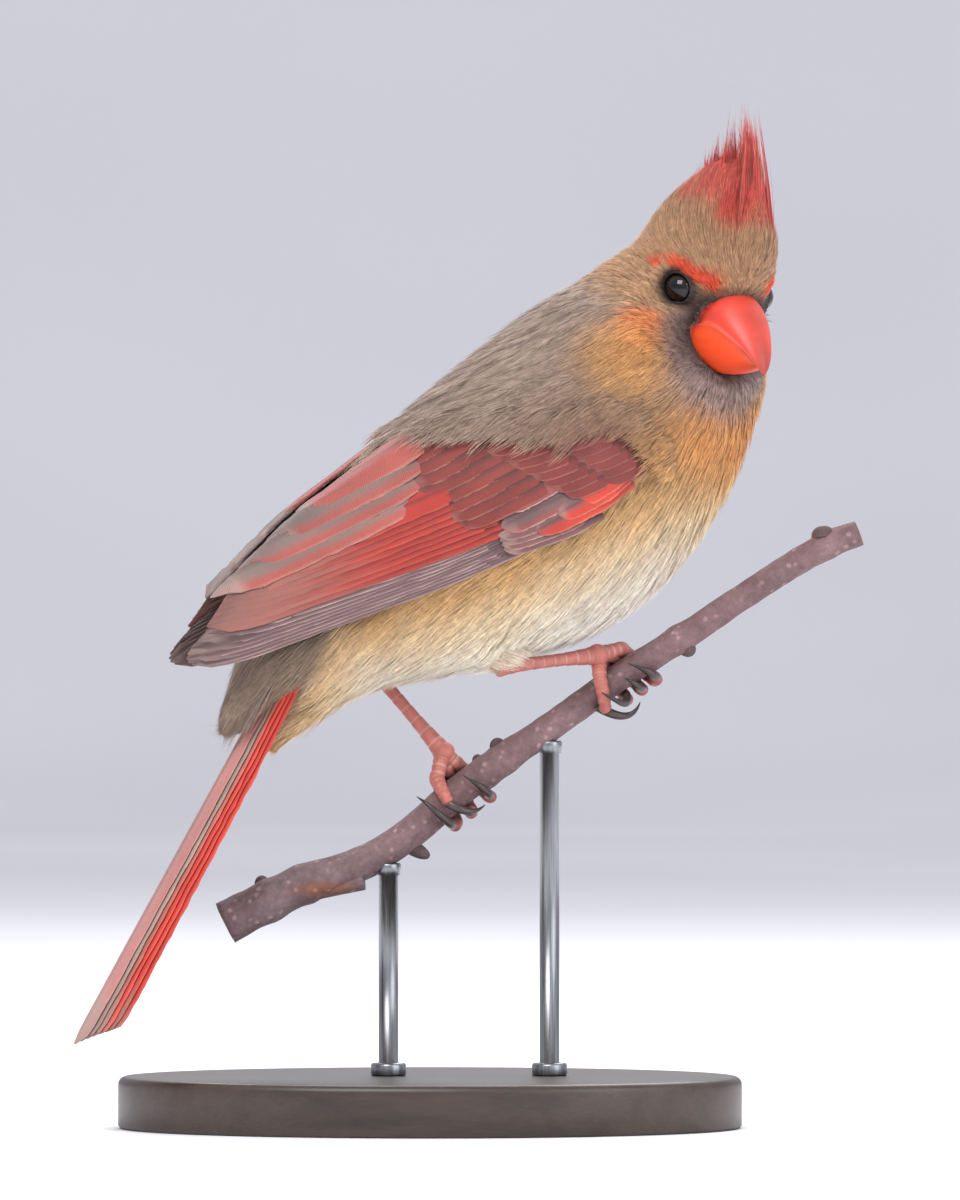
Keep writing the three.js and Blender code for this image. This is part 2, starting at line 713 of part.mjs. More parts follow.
function crestFeathers() {
  const pieces = [];
  for (let row = 0; row < CREST.rows; row++)
    for (const column of CREST.columns) {
      const seed = row * 3 + column + 2;
      const t = row / (CREST.rows - 1);
      const root = v3(lerp(CREST.rootFront, CREST.rootBack, t), column * CREST.rootSide, CREST.rootHeight);
      const reach = 1.04 - 0.08 * Math.abs(draw(seed)) - (column ? 0.04 : 0);
      const tip = v3(
        lerp(CREST.tipFront[0], CREST.tipBack[0], t) + 0.8 * draw(seed + 40),
        column * CREST.tipSide + 0.9 * draw(seed + 80),
        lerp(CREST.tipFront[1], CREST.tipBack[1], t ** 2),
      );
      tip.sub(root).multiplyScalar(reach).add(root);
      const rows = VANE_SHAPE.map(([u, share]) => {
        const point = root.clone().lerp(tip, u);
        point.x += 0.6 * Math.sin(Math.PI * u);
        const wide = CREST.half * (u < 1 ? 1.15 - 0.75 * u : 0.12);
        const thick = lerp(CREST.rootThickness, CREST.tipThickness, u) / 2;
        const corner = (aside, ahead) =>
          v3(point.x + ahead, point.y + aside, point.z + ahead * 0.4).applyMatrix4(headMatrix);
        return [corner(wide, thick), corner(-wide, thick), corner(-wide, -thick), corner(wide, -thick)];
      });
      pieces.push(blade(rows));
    }
  return join(pieces);
}

// Feathers over and under the root of the tail: each lobe runs from one point of the side view to another,
// with its half height and half width along the way
const COVERT_LOBES = [
  {
    from: [-20, 104], to: [-40.5, 74.5],
    form: [[0, 11, 12.5], [0.3, 8.8, 10.6], [0.6, 6.2, 8.2], [0.85, 4, 6.2], [1, 1.8, 3.6]],
  },
  {
    from: [-14, 99], to: [-31, 71.8],
    form: [[0, 13, 13], [0.3, 9.6, 9.6], [0.6, 6.2, 5.4], [0.85, 3.4, 3.4], [1, 1.6, 1.8]],
  },
];

function tailCoverts(grow) {
  const across = v3(0, 1, 0).applyAxisAngle(v3(0, 0, 1), BODY.yaw);
  const steps = 7;
  const lobes = COVERT_LOBES.map((lobe) => {
    const from = sidePoint(...lobe.from, 0);
    const to = sidePoint(...lobe.to, 0);
    const along = to.clone().sub(from).normalize();
    const back = across.clone().cross(along).normalize();
    const rings = [];
    for (let r = 0; r <= steps; r++) {
      const [tall, wide] = readTable(lobe.form, r / steps);
      const middle = from.clone().lerp(to, r / steps);
      rings.push(
        Array.from({ length: 18 }, (_, i) => {
          const a = (i / 18) * TAU;
          const aside = across.clone().multiplyScalar((wide + grow) * Math.cos(a));
          return middle.clone().add(aside).add(back.clone().multiplyScalar((tall + grow) * Math.sin(a)));
        }),
      );
    }
    rings.at(-1).forEach((p) => p.add(along.clone().multiplyScalar(grow)));
    return solid(loft(rings));
  });
  return join(lobes);
}

// Put together, each piece kept clear of those it meets
const body = bodyForm(0);
const bodyGrown = bodyForm(GAP + 0.05);
const coverts = tailCoverts(0);
const covertsGrown = tailCoverts(GAP + 0.05);
const headGrown = join([headForm(GAP + 0.05), lidRing(1, GAP), lidRing(-1, GAP)]);
const perch = join([perchForm(0), ...BUDS.map(budForm), forkStub()]);
const perchGrown = perchForm(GAP);

const torso = body.intersect(bodySlab(TORSO_ENDS.rear, TORSO_ENDS.front));
const neck = cut(neckForm(), headGrown);
const hindBody = body.intersect(bodySlab(-60, TORSO_ENDS.rear - GAP));
const rump = cut(join([hindBody, coverts]), bodySlab(TORSO_ENDS.rear - GAP, 90));
addNode("torso", torso, MATERIALS.buff);
addNode("rump", rump, MATERIALS.buff);

const sockets = [1, -1].map((side) => sphereAt(eyeCentre(side), EYE.radius + GAP, 14, headMatrix));
const upper = billHalf(UPPER_BILL, false, 0);
const lower = billHalf(LOWER_BILL, true, 0);
const billGrown = join([billHalf(UPPER_BILL, false, GAP + 0.1), billHalf(LOWER_BILL, true, GAP + 0.1)]);
const faceClear = [1, -1].map((side) => sphereAt(eyeCentre(side), EYE.radius + 1.8, 14, headMatrix));
addNode("neck", cut(neck, billGrown, ...faceClear), MATERIALS.buff);
let head = join([headForm(0), lidRing(1, 0), lidRing(-1, 0), crestFeathers()]);
head = cut(head, ...sockets);
addNode("head", head, MATERIALS.face);
addNode("eye_left", sphereAt(eyeCentre(1), EYE.radius, 14, headMatrix), MATERIALS.eye);
addNode("eye_right", sphereAt(eyeCentre(-1), EYE.radius, 14, headMatrix), MATERIALS.eye);
addNode("bill_upper", cut(upper, headGrown), MATERIALS.bill);
addNode("bill_lower", cut(lower, headGrown, billHalf(UPPER_BILL, false, GAP)), MATERIALS.bill);

for (const [sideName, leg] of Object.entries(LEGS)) {
  const clear = [bodyGrown, covertsGrown];
  const foot = cut(footForm(leg, 0), perchGrown);
  const footGrown = footForm(leg, GAP);
  const tarsus = cut(tarsusForm(leg), ...clear, footGrown);
  addNode("foot_" + sideName, foot, MATERIALS.skin);
  addNode("tarsus_" + sideName, tarsus, MATERIALS.skin);
  leg.toes.forEach((toe, i) => {
    const claw = cut(clawForm(leg, toe), footGrown, perchGrown);
    addNode("claw_" + sideName + "_" + (i + 1), claw, MATERIALS.claw);
  });
  addNode("thigh_" + sideName, cut(thighForm(leg), ...clear, tarsusForm(leg)), MATERIALS.buff);
}

const wingClear = [bodyGrown, covertsGrown];
addNode("wing_right", cut(wingForm(-1), ...wingClear), MATERIALS.wing);
addNode("wing_left", cut(wingForm(1), ...wingClear), MATERIALS.wing);
addNode("tail", cut(tailForm(), ...wingClear), MATERIALS.tail);
addNode("perch", perch, MATERIALS.bark);

const baseShape = new THREE.Shape();
baseShape.absellipse(0, 0, BASE.halfX, BASE.halfY, 0, TAU);
const basePlate = new THREE.ExtrudeGeometry(baseShape, {
  depth: BASE.height - 2 * BASE.bevel,
  bevelThickness: BASE.bevel,
  bevelSize: BASE.bevel,
  bevelOffset: -BASE.bevel,
  bevelSegments: 2,
  curveSegments: 18,
});
addNode("stand_base", solid(basePlate.translate(0, 0, BASE.bevel)), MATERIALS.stand);

RODS_X.forEach((x, i) => {
  const { centre } = perchAt(x);
  const height = centre.z - BASE.height - GAP;
  const rod = new THREE.CylinderGeometry(ROD_RADIUS, ROD_RADIUS, height, 16).rotateX(Math.PI / 2);
  const made = solid(rod.translate(x, PERCH_Y, BASE.height + GAP + height / 2));
  addNode("stand_rod_" + (i + 1), cut(made, perchGrown), MATERIALS.rod);
});

export default model;
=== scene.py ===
"""A life-size female northern cardinal gripping a cut length of branch, on a plain display stand.

Lengths in the named values are millimetres in the frame of the solids, and MM turns them into metres.
The viewer stands on the -Y side and sees the bird's right side; its front points to +X and a little away.
"""

import math

import bmesh
import bpy
import numpy as np
from mathutils import Matrix, Vector
from mathutils.bvhtree import BVHTree


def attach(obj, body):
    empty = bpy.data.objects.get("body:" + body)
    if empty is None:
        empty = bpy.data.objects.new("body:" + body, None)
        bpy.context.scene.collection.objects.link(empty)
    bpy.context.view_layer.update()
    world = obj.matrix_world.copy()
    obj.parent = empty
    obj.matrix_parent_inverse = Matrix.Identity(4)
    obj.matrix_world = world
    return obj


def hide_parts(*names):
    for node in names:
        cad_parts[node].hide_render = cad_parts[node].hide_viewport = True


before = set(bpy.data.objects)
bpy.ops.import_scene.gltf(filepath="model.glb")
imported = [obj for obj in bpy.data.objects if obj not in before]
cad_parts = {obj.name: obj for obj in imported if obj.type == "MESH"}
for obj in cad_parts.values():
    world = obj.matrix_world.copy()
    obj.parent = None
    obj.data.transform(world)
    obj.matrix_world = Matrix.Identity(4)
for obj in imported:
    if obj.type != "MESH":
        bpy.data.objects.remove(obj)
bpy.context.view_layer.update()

MM = 0.001
TAU = 2 * math.pi
RIGHT, LEFT = -1, 1
SIDES = {"right": RIGHT, "left": LEFT}
ROOT_BODY = "root"
PAINT = "Paint"  # colour attribute that carries the markings
BAKE_MAP = "OFBake"
VANE_MAP = "Vane"  # millimetres across and along a feather

# Camera: millimetres and pixels of the photograph
PHOTO_SCALE = 5.2  # pixels for each millimetre at the bird
PHOTO_SIZE = (960, 1200)
PHOTO_ORIGIN = (430, 1128)  # pixel of the frame's origin
CAMERA_AWAY = 2000
SENSOR = 36

# Body and head, as in the solids
BODY = {"origin": (7.7, 0, 118.8), "rise": math.radians(38.5), "yaw": math.radians(12)}
HEAD = {
    "centre": (55.9, 2.5, 160.2),
    "yaw": math.radians(60),
    "pitch": math.radians(18),
    "roll": math.radians(5),
}
# Height above the eye line, front, back, half width
HEAD_LEVELS = [
    (-18.5, 2, -10, 6), (-16, 3.8, -15, 10.5), (-11, 4.8, -18.5, 13.6), (-5, 6.6, -20, 15.2),
    (1, 8.8, -21, 15.4), (7, 11, -21, 13.9), (13, 10.8, -19.3, 11.4), (19, 7.6, -16, 7.6),
    (24, 3.4, -12, 4), (26.5, 0.5, -9, 1.8),
]
# Where the head's plumage passes into the body's
HEAD_BALL = {"centre": np.array([-6, 0, 3]), "scale": np.array([1, 1, 0.85]), "inner": 19, "outer": 27}
EYE = {"at": (-0.6, 8.4, 0.5), "radius": 3.4, "forward": math.radians(24)}
EYE_WIDE, EYE_TALL = 1.06, 0.97  # stretch of the lids' rings across and up

# Bill halves: distance forward, ridge height, lower edge height, half width
UPPER_BILL = [
    (3, 2.6, -7, 6.6), (6, 2.3, -5.6, 6.6), (9, 1.5, -4.9, 6), (12, -0.2, -5.3, 5.2),
    (15, -2.4, -6.3, 4.1), (18, -5.2, -7.6, 2.8), (20.2, -7.8, -9.2, 1.5), (21.4, -9.6, -10.4, 0.4),
]
LOWER_BILL = [
    (1, -8, -14.2, 7.6), (3.5, -7, -14.6, 7.7), (6, -5.9, -14.6, 7.3), (9, -5.2, -14.2, 6.4),
    (12, -5.6, -13.2, 5.3), (15, -6.6, -12, 4), (18, -7.9, -10.6, 2.4), (19.6, -8.9, -9.7, 1),
]
BILL_RAISE = 1
BILL_ROOT = np.array([7.5, 0, -6])

# Wing: distance along it from the wrist, height of the back above its lower edge, half width
WING = {"wrist": (35, 124.6), "fall": math.radians(23.7)}
WING_FORM = [
    (-6, 35, 20), (10, 32, 23), (26, 28, 24.4), (45, 23.3, 21), (60, 19.6, 17), (75, 13.6, 12.6),
    (92, 6.5, 8.4),
]
# Flesh under the wing and shoulder: distance along the wing, lower edge, upper edge, thickness
WING_CORE = [
    (-5, 1, 9, 0.8), (0, -2.5, 15, 2), (8, -4, 21, 2.6), (18, -4.4, 24, 2.4), (30, -4, 23, 2),
    (42, -3, 20, 1.2), (48, -1.5, 17, 0.6),
]
SCAPULARS = [(-7, 12, 19, 0.5), (0, 12.5, 26, 2.4), (10, 14, 28, 3.3), (21, 17, 27, 3.4), (34, 21, 24.5, 2.4)]
CORE_DEPTH = -4  # how far the inner side of the flesh lies under the wing's form
TOP_TUCK = 3.4  # how far the upper edge of the wing bends down to the back

FLESH = ("torso", "neck", "head", "rump", "thigh_right", "thigh_left")
SEAM_GROW = 0.5
SKIN_VOXEL = 0.85
SKIN_ROUNDS = 26
SOCKET_RADIUS = 5.2

# The coat: depth, length and half width of a feather by region; hind and crown are added to the length
# towards the tail and the crest
COAT_DEPTH = {"body": 2.3, "head": 1.5, "face": 0.7}
COAT_LENGTH = {"body": 8.6, "hind": 5.5, "head": 5.2, "crown": 3.5, "face": 2.5}
COAT_WIDTH = {"body": 1.35, "head": 0.85, "face": 0.55}
COAT_DENSITY = {"body": 1.35, "head": 3.4}  # feathers for each square millimetre
COAT_BARBS = 6
BARB_WIDTH = 0.2
BARB_STEPS = 3
DARK_ROOT = 0.5
PATCH = 0.003  # size of a tuft's patch on the bake map
MOST_TUFTS = 6600  # in one coat piece


def srgb(code):
    """Linear colour from a six-digit code."""
    parts = np.array([int(code[i : i + 2], 16) / 255 for i in (0, 2, 4)])
    return np.where(parts > 0.04045, ((parts + 0.055) / 1.055) ** 2.4, parts / 12.92)


def step(low, high, value):
    """Smooth change from 0 at low to 1 at high."""
    t = np.clip((value - low) / (high - low), 0, 1)
    return t * t * (3 - 2 * t)


def mix(a, b, share):
    return a + (b - a) * share


def unit(vectors):
    return vectors / np.maximum(np.linalg.norm(vectors, axis=-1, keepdims=True), 1e-9)


def circle(count):
    """Angles spread over a full turn."""
    return np.arange(count) / count * TAU


def wobble(points, size, seed):
    """Smooth value from about -1 to 1 that changes over about size millimetres."""
    draw = np.random.default_rng(seed)
    waves = draw.normal(size=(10, 3)) * 2.4 / size
    phases = draw.uniform(0, TAU, 10)
    return np.sin(points @ waves.T + phases).mean(axis=-1) * 2.2


def read_table(table, station):
    """Smooth curve through rows (station, value, value, ...), read at an array of stations."""
    table = np.array(table, float)
    x, y = table[:, 0], table[:, 1:]
    slope = np.empty_like(y)
    slope[1:-1] = (y[2:] - y[:-2]) / (x[2:] - x[:-2])[:, None]
    slope[0] = (y[1] - y[0]) / (x[1] - x[0])
    slope[-1] = (y[-1] - y[-2]) / (x[-1] - x[-2])
    s = np.atleast_1d(np.asarray(station, float))
    i = np.clip(np.searchsorted(x, s, side="right") - 1, 0, len(x) - 2)
    span = (x[i + 1] - x[i])[:, None]
    t = (s - x[i])[:, None] / span
    start = y[i] * (2 * t**3 - 3 * t**2 + 1) + slope[i] * span * (t**3 - 2 * t**2 + t)
    return start + y[i + 1] * (3 * t**2 - 2 * t**3) + slope[i + 1] * span * (t**3 - t**2)


def columns_of(table, stations):
    """The curves of a table at the stations, each as a column."""
    return (column[:, None] for column in read_table(table, stations).T)


body_matrix = np.array(
    Matrix.Translation(BODY["origin"])
    @ Matrix.Rotation(BODY["yaw"], 4, "Z")
    @ Matrix.Rotation(-BODY["rise"], 4, "Y")
)
head_matrix = np.array(
    Matrix.Translation(HEAD["centre"])
    @ Matrix.Rotation(-HEAD["yaw"], 4, "Z")
    @ Matrix.Rotation(HEAD["pitch"], 4, "Y")
    @ Matrix.Rotation(-HEAD["roll"], 4, "X")
)


def placed(points, matrix):
    return np.asarray(points, float) @ matrix[:3, :3].T + matrix[:3, 3]


def in_frame(points, matrix):
    return (np.asarray(points, float) - matrix[:3, 3]) @ matrix[:3, :3]


def side_points(x, z, left):
    """Points of the side view moved sideways out of the body's middle plane; left is positive."""
    start = BODY["origin"][0]
    c, s = math.cos(BODY["yaw"]), math.sin(BODY["yaw"])
    forward = (x - start) / c
    return np.stack(np.broadcast_arrays(start + forward * c - left * s, forward * s + left * c, z), -1)


def loft(rings):
    """Closed surface through rings, an array (rings, sides, 3), with a fan at each end."""
    count, sides = rings.shape[:2]
    r, i = np.meshgrid(np.arange(count - 1), np.arange(sides), indexing="ij")
    a, b = r * sides + i, r * sides + (i + 1) % sides
    quads = np.stack([a, b, b + sides, a + sides], -1).reshape(-1, 4)
    points = np.vstack([rings.reshape(-1, 3), rings[[0, -1]].mean(axis=1)])
    first, last, end = len(points) - 2, len(points) - 1, (count - 1) * sides
    k = np.arange(sides)
    j = (k + 1) % sides
    fans = [np.stack([first + 0 * k, j, k], -1), np.stack([last + 0 * k, end + k, end + j], -1)]
    return points, [quads, np.vstack(fans)]


def capped(values):
    """Values of the points that loft() returns, from those of its rings."""
    values = values.reshape(-1, values.shape[-1])
    return np.vstack([values, values[:1], values[-1:]])


def tube(path, radii, sides, profile=None):
    """Round rings along a path, as an array for loft(); profile(angle, ring) scales the radius."""
    path = np.asarray(path, float)
    tangent = unit(np.gradient(path, axis=0))
    normal = np.array([0.0, 1, 0]) if abs(tangent[0, 1]) < 0.9 else np.array([1.0, 0, 0])
    angles = circle(sides)
    rings = []
    for n, (p, t, radius) in enumerate(zip(path, tangent, radii)):
        normal = unit(normal - t * (normal @ t))
        side = np.cross(t, normal)
        size = radius * (profile(angles, n) if profile else 1)
        out = np.cos(angles)[:, None] * normal + np.sin(angles)[:, None] * side
        rings.append(p + out * np.broadcast_to(size, angles.shape)[:, None])
    return np.array(rings)


def merged(parts):
    """One list of points and faces from several, with each part's arrays of values after them."""
    points, faces, values, start = [], {3: [], 4: []}, [], 0
    for part in parts:
        points.append(part[0])
        for block in part[1]:
            faces[block.shape[1]].append(block + start)
        values.append(part[2] if len(part) > 2 else np.zeros((len(part[0]), 3)))
        start += len(part[0])
    return np.vstack(points), [np.vstack(f) for f in faces.values() if f], np.vstack(values)


def new_mesh(name, points, faces, colours=None, maps=None):
    """A mesh from millimetres; colours are for each point, and maps are UVs for each point by name."""
    mesh = bpy.data.meshes.new(name)
    counts = np.concatenate([np.full(len(f), f.shape[1]) for f in faces])
    corners = np.concatenate([f.ravel() for f in faces]).astype(np.int32)
    mesh.vertices.add(len(points))
    mesh.vertices.foreach_set("co", (np.asarray(points) * MM).astype(np.float32).ravel())
    mesh.loops.add(len(corners))
    mesh.loops.foreach_set("vertex_index", corners)
    mesh.polygons.add(len(counts))
    starts = np.concatenate([[0], np.cumsum(counts)[:-1]]).astype(np.int32)
    mesh.polygons.foreach_set("loop_start", starts)
    mesh.update(calc_edges=True)
    mesh.polygons.foreach_set("use_smooth", np.full(len(counts), True))
    if colours is not None:
        layer = mesh.color_attributes.new(PAINT, "BYTE_COLOR", "POINT")
        rgba = np.ones((len(points), 4), np.float32)
        rgba[:, :3] = np.clip(colours, 0, 1)
        layer.data.foreach_set("color", rgba.ravel())
    for map_name, places in (maps or {}).items():
        layer = mesh.uv_layers.new(name=map_name)
        layer.data.foreach_set("uv", places[corners].astype(np.float32).ravel())
    return mesh


def add_object(name, data):
    obj = bpy.data.objects.new(name, data)
    bpy.context.scene.collection.objects.link(obj)
    return obj


def add_piece(name, mesh, material, replaces=(), outward=True):
    """Adds a mesh to the scene as a piece that rides on the body."""
    if outward:
        shell = bmesh.new()
        shell.from_mesh(mesh)
        bmesh.ops.recalc_face_normals(shell, faces=shell.faces)
        shell.to_mesh(mesh)
        shell.free()
    obj = add_object(name, mesh)
    mesh.materials.append(material)
    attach(obj, ROOT_BODY)
    if replaces:
        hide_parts(*replaces)


def add_part(name, part, material, replaces=()):
    """Adds a part (points, faces and perhaps colours) as a piece of the same name."""
    add_piece(name, new_mesh(name, *part), material, replaces)


class Nodes:
    """Short calls for building one material's node tree."""

    def __init__(self, name):
        self.material = bpy.data.materials.new(name)
        self.material.use_nodes = True
        self.tree = self.material.node_tree
        self.shader = self.tree.nodes["Principled BSDF"]

    def add(self, kind, inputs=None, **settings):
        node = self.tree.nodes.new(kind)
        for key, value in settings.items():
            setattr(node, key, value)
        for key, value in (inputs or {}).items():
            self.put(node.inputs[key], value)
        return node

    def put(self, socket, value):
        if isinstance(value, bpy.types.NodeSocket):
            self.tree.links.new(value, socket)
        else:
            socket.default_value = value

    def set(self, **values):
        for key, value in values.items():
            self.put(self.shader.inputs[key.replace("_", " ")], value)

    def place(self):
        return self.add("ShaderNodeTexCoord").outputs["Object"]

    def stretched(self, scale):
        return self.add("ShaderNodeMapping", {"Vector": self.place(), "Scale": scale}).outputs["Vector"]

    def noise(self, scale, vector=None, detail=3.0, roughness=0.55):
        node = self.add("ShaderNodeTexNoise", {"Scale": scale, "Detail": detail, "Roughness": roughness})
        self.put(node.inputs["Vector"], vector or self.place())
        return node.outputs["Fac"]

    def math(self, operation, *values):
        return self.add("ShaderNodeMath", dict(enumerate(values)), operation=operation).outputs[0]

    def ramp(self, value, *stops):
        """Colour codes or grey levels by value, from stops (place, colour)."""
        node = self.add("ShaderNodeValToRGB", {"Fac": value})
        while len(node.color_ramp.elements) < len(stops):
            node.color_ramp.elements.new(0.5)
        for element, (place, colour) in zip(node.color_ramp.elements, stops):
            element.position = place
            element.color = (*srgb(colour), 1) if isinstance(colour, str) else (colour, colour, colour, 1)
        return node.outputs["Color"]

    def times(self, a, b, share=1.0):
        inputs = {0: share, 6: a, 7: b}
        return self.add("ShaderNodeMix", inputs, data_type="RGBA", blend_type="MULTIPLY").outputs[2]

    def tint(self, value, *stops):
        """The painted markings, made darker and lighter by a ramp of value."""
        paint = self.add("ShaderNodeAttribute", attribute_name=PAINT).outputs["Color"]
        return self.times(paint, self.ramp(value, *stops))

    def bump(self, height, strength, distance):
        node = self.add("ShaderNodeBump", {"Strength": strength, "Distance": distance * MM, "Height": height})
        self.put(self.shader.inputs["Normal"], node.outputs["Normal"])


def coat_material():
    m = Nodes("coat")
    m.set(Base_Color=m.tint(m.noise(900, detail=1.0), (0.3, 0.86), (0.7, 1.12)), Roughness=0.72)
    m.set(Sheen_Weight=0.25, Sheen_Roughness=0.5, Specular_IOR_Level=0.25)
    return m.material


def skin_material():
    m = Nodes("skin")
    lines = m.noise(420, m.stretched((1, 1, 0.4)))
    m.set(Base_Color=m.tint(lines, (0.3, 0.6), (0.7, 0.95)), Roughness=0.9)
    m.bump(lines, 0.6, 0.5)
    return m.material


BARB_GAP = 0.42  # millimetres between the vane's fine lines
BARB_SLANT = -1.3


def vane_material():
    """Vanes: the markings, with fine barbs that slant from the shaft towards the tip."""
    m = Nodes("vane")
    place = m.add("ShaderNodeUVMap", uv_map=VANE_MAP).outputs["UV"]
    parts = m.add("ShaderNodeSeparateXYZ", {"Vector": place}).outputs
    slant = m.math("MULTIPLY_ADD", m.math("ABSOLUTE", parts["X"]), BARB_SLANT, parts["Y"])
    barbs = m.math("SINE", m.math("MULTIPLY", slant, TAU / BARB_GAP))
    lines = m.math("MULTIPLY_ADD", barbs, 0.5, m.noise(260, detail=2.0))
    m.set(Base_Color=m.tint(lines, (0.1, 0.84), (0.9, 1.08)), Roughness=0.55)
    m.set(Sheen_Weight=0.15, Specular_IOR_Level=0.3)
    m.bump(lines, 0.35, 0.12)
    return m.material


def bill_material():
    m = Nodes("bill")
    streaks = m.noise(160, m.stretched((0.6, 0.6, 2.2)), detail=4.0)
    m.set(Base_Color=m.tint(streaks, (0.25, 0.8), (0.75, 1.08)), Roughness=0.42)
    m.set(Subsurface_Weight=0.12, Subsurface_Scale=0.001, Coat_Weight=0.12, Coat_Roughness=0.35)
    m.bump(streaks, 0.25, 0.15)
    return m.material


def eye_material():
    m = Nodes("eye")
    m.set(Base_Color=m.tint(m.noise(700, detail=2.0), (0.3, 0.7), (0.7, 1.2)), Roughness=0.06)
    m.set(Coat_Weight=0.35, Coat_Roughness=0.02, Specular_IOR_Level=0.3)
    return m.material


def leg_material(name, roughness, grain):
    m = Nodes(name)
    fine = m.noise(grain, detail=4.0)
    m.set(Base_Color=m.tint(fine, (0.3, 0.8), (0.7, 1.1)), Roughness=roughness)
    m.set(Subsurface_Weight=0.08, Subsurface_Scale=0.001)
    m.bump(fine, 0.3, 0.12)
    return m.material


def bark_material():
    m = Nodes("bark")
    patches = m.noise(55, detail=5.0, roughness=0.65)
    fine = m.noise(700, detail=6.0, roughness=0.7)
    cells = m.add("ShaderNodeTexVoronoi", {"Vector": m.place(), "Scale": 420.0}).outputs["Distance"]
    colour = m.times(m.tint(patches, (0.3, 0.75), (0.7, 1.2)), m.ramp(fine, (0.3, 0.7), (0.7, 1.2)))
    m.set(Base_Color=m.times(colour, m.ramp(cells, (0.12, 1.9), (0.26, 1.0)), 0.9), Roughness=0.82)
    m.bump(fine, 0.8, 0.5)
    return m.material


def wood_material():
    m = Nodes("stand wood")
    rings = m.noise(60, m.stretched((0.25, 2.4, 2.4)), detail=6.0, roughness=0.6)
    fine = m.noise(900, m.stretched((0.12, 3, 3)), detail=2.0)
    colour = m.ramp(rings, (0.3, "2b211b"), (0.55, "43342a"), (0.75, "352820"))
    m.set(Base_Color=m.times(colour, m.ramp(fine, (0.3, 0.8), (0.7, 1.1))), Roughness=0.42)
    m.set(Coat_Weight=0.2, Coat_Roughness=0.3)
    m.bump(fine, 0.15, 0.1)
    return m.material


def metal_material():
    m = Nodes("stand metal")
    brushed = m.noise(500, m.stretched((6, 6, 0.2)))
    m.set(Base_Color=m.ramp(brushed, (0.3, "7d7f83"), (0.7, "9b9da1")), Metallic=1.0)
    m.set(Roughness=m.ramp(brushed, (0.3, 0.28), (0.7, 0.4)))
    return m.material


def stage_material():
    m = Nodes("stage")
    m.set(Base_Color=m.ramp(m.noise(3, detail=1.0), (0.3, "f0eff3"), (0.7, "f5f4f7")), Roughness=0.95)
    return m.material


# The outer forms of the head and of the wing's shoulder, which with the torso's solids make the skin
def head_form():
    levels = np.linspace(HEAD_LEVELS[0][0], HEAD_LEVELS[-1][0], 40)
    front, back, half = columns_of(HEAD_LEVELS, levels)
    middle = mix(front, back, 0.6)
    angles = circle(48)
    c, s = np.cos(angles), np.sin(angles)
    narrow = np.where(c > 0, 1 - 0.36 * np.abs(c) ** 1.5, 1)
    reach = np.where(c > 0, front - middle, middle - back)
    rings = np.stack(np.broadcast_arrays(middle + reach * c, half * s * narrow, levels[:, None]), -1)
    return loft(placed(rings, head_matrix))


def wing_spot(side, along, height, lift):
    """A point on the form that the folded wing lies on."""
    along, height, lift = np.broadcast_arrays(along, height, lift)
    tall, wide = (column.reshape(along.shape) for column in read_table(WING_FORM, along.ravel()).T)
    angle = np.arcsin(np.clip(height / tall, -0.95, 0.97))
    up = (tall + lift) * np.sin(angle)
    c, s = math.cos(WING["fall"]), math.sin(WING["fall"])
    x = WING["wrist"][0] - c * along - s * up
    z = WING["wrist"][1] - s * along + c * up
    return side_points(x, z, side * (wide + lift) * np.cos(angle))


def wing_tuck(along, height):
    """How far a point near the wing's upper edge bends down to the back."""
    tall = read_table(WING_FORM, along.ravel())[:, 0].reshape(along.shape)
    return TOP_TUCK * step(0.8, 1.0, height / tall)


def wing_leaf(side, table):
    """A thin form under the folded wing, between a lower and an upper edge."""
    stations = np.linspace(table[0][0], table[-1][0], 28)
    low, high, thick = columns_of(table, stations)
    share = np.linspace(0, 1, 16)
    heights = mix(low, high, share)
    outer = wing_spot(side, stations[:, None], heights, 0.4 + thick * np.sin(share * math.pi) ** 0.8)
    under = wing_spot(side, stations[:, None], heights[:, ::-1], CORE_DEPTH)
    return loft(np.concatenate([outer, under], axis=1))


def shell_arrays(shell):
    """Points in metres and triangles of a bmesh."""
    points = np.array([v.co for v in shell.verts])
    return points, np.array([[v.index for v in f.verts] for f in shell.faces])


def cad_form(name):
    """A solid's points, merged and moved out a little, and its triangles."""
    shell = bmesh.new()
    shell.from_mesh(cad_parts[name].data)
    bmesh.ops.remove_doubles(shell, verts=shell.verts, dist=1e-6)
    shell.normal_update()
    points = np.array([v.co / MM + v.normal * SEAM_GROW for v in shell.verts])
    faces = shell_arrays(shell)[1]
    shell.free()
    return points, [faces]


def smoothed(points, edges, rounds):
    """Points pulled towards the middle of their neighbours, several times over."""
    n = len(points)
    count = np.bincount(edges.ravel(), minlength=n)[:, None]
    a, b = edges.T
    for _ in range(rounds):
        total = [np.bincount(a, points[b, k], n) + np.bincount(b, points[a, k], n) for k in range(3)]
        points = points + 0.5 * (np.stack(total, -1) / count - points)
    return points


def mirrored(points):
    """Points in the head's or body's frame, all on its left side."""
    return np.stack([points[:, 0], np.abs(points[:, 1]), points[:, 2]], -1)


def reach_in(points, centre, radii):
    """Distance from an ellipsoid's centre, 1 on its surface."""
    return np.linalg.norm((points - np.array(centre)) / np.array(radii), axis=-1)


def blob(points, centre, radii, soft=0.3):
    """1 inside an ellipsoid and 0 outside, soft across its edge."""
    return 1 - step(1 - soft, 1 + soft, reach_in(points, centre, radii))


def head_share(points):
    """1 on the head and 0 on the body."""
    q = in_frame(points, head_matrix) - HEAD_BALL["centre"]
    reach = np.linalg.norm(q * HEAD_BALL["scale"], axis=-1)
    return 1 - step(HEAD_BALL["inner"], HEAD_BALL["outer"], reach)


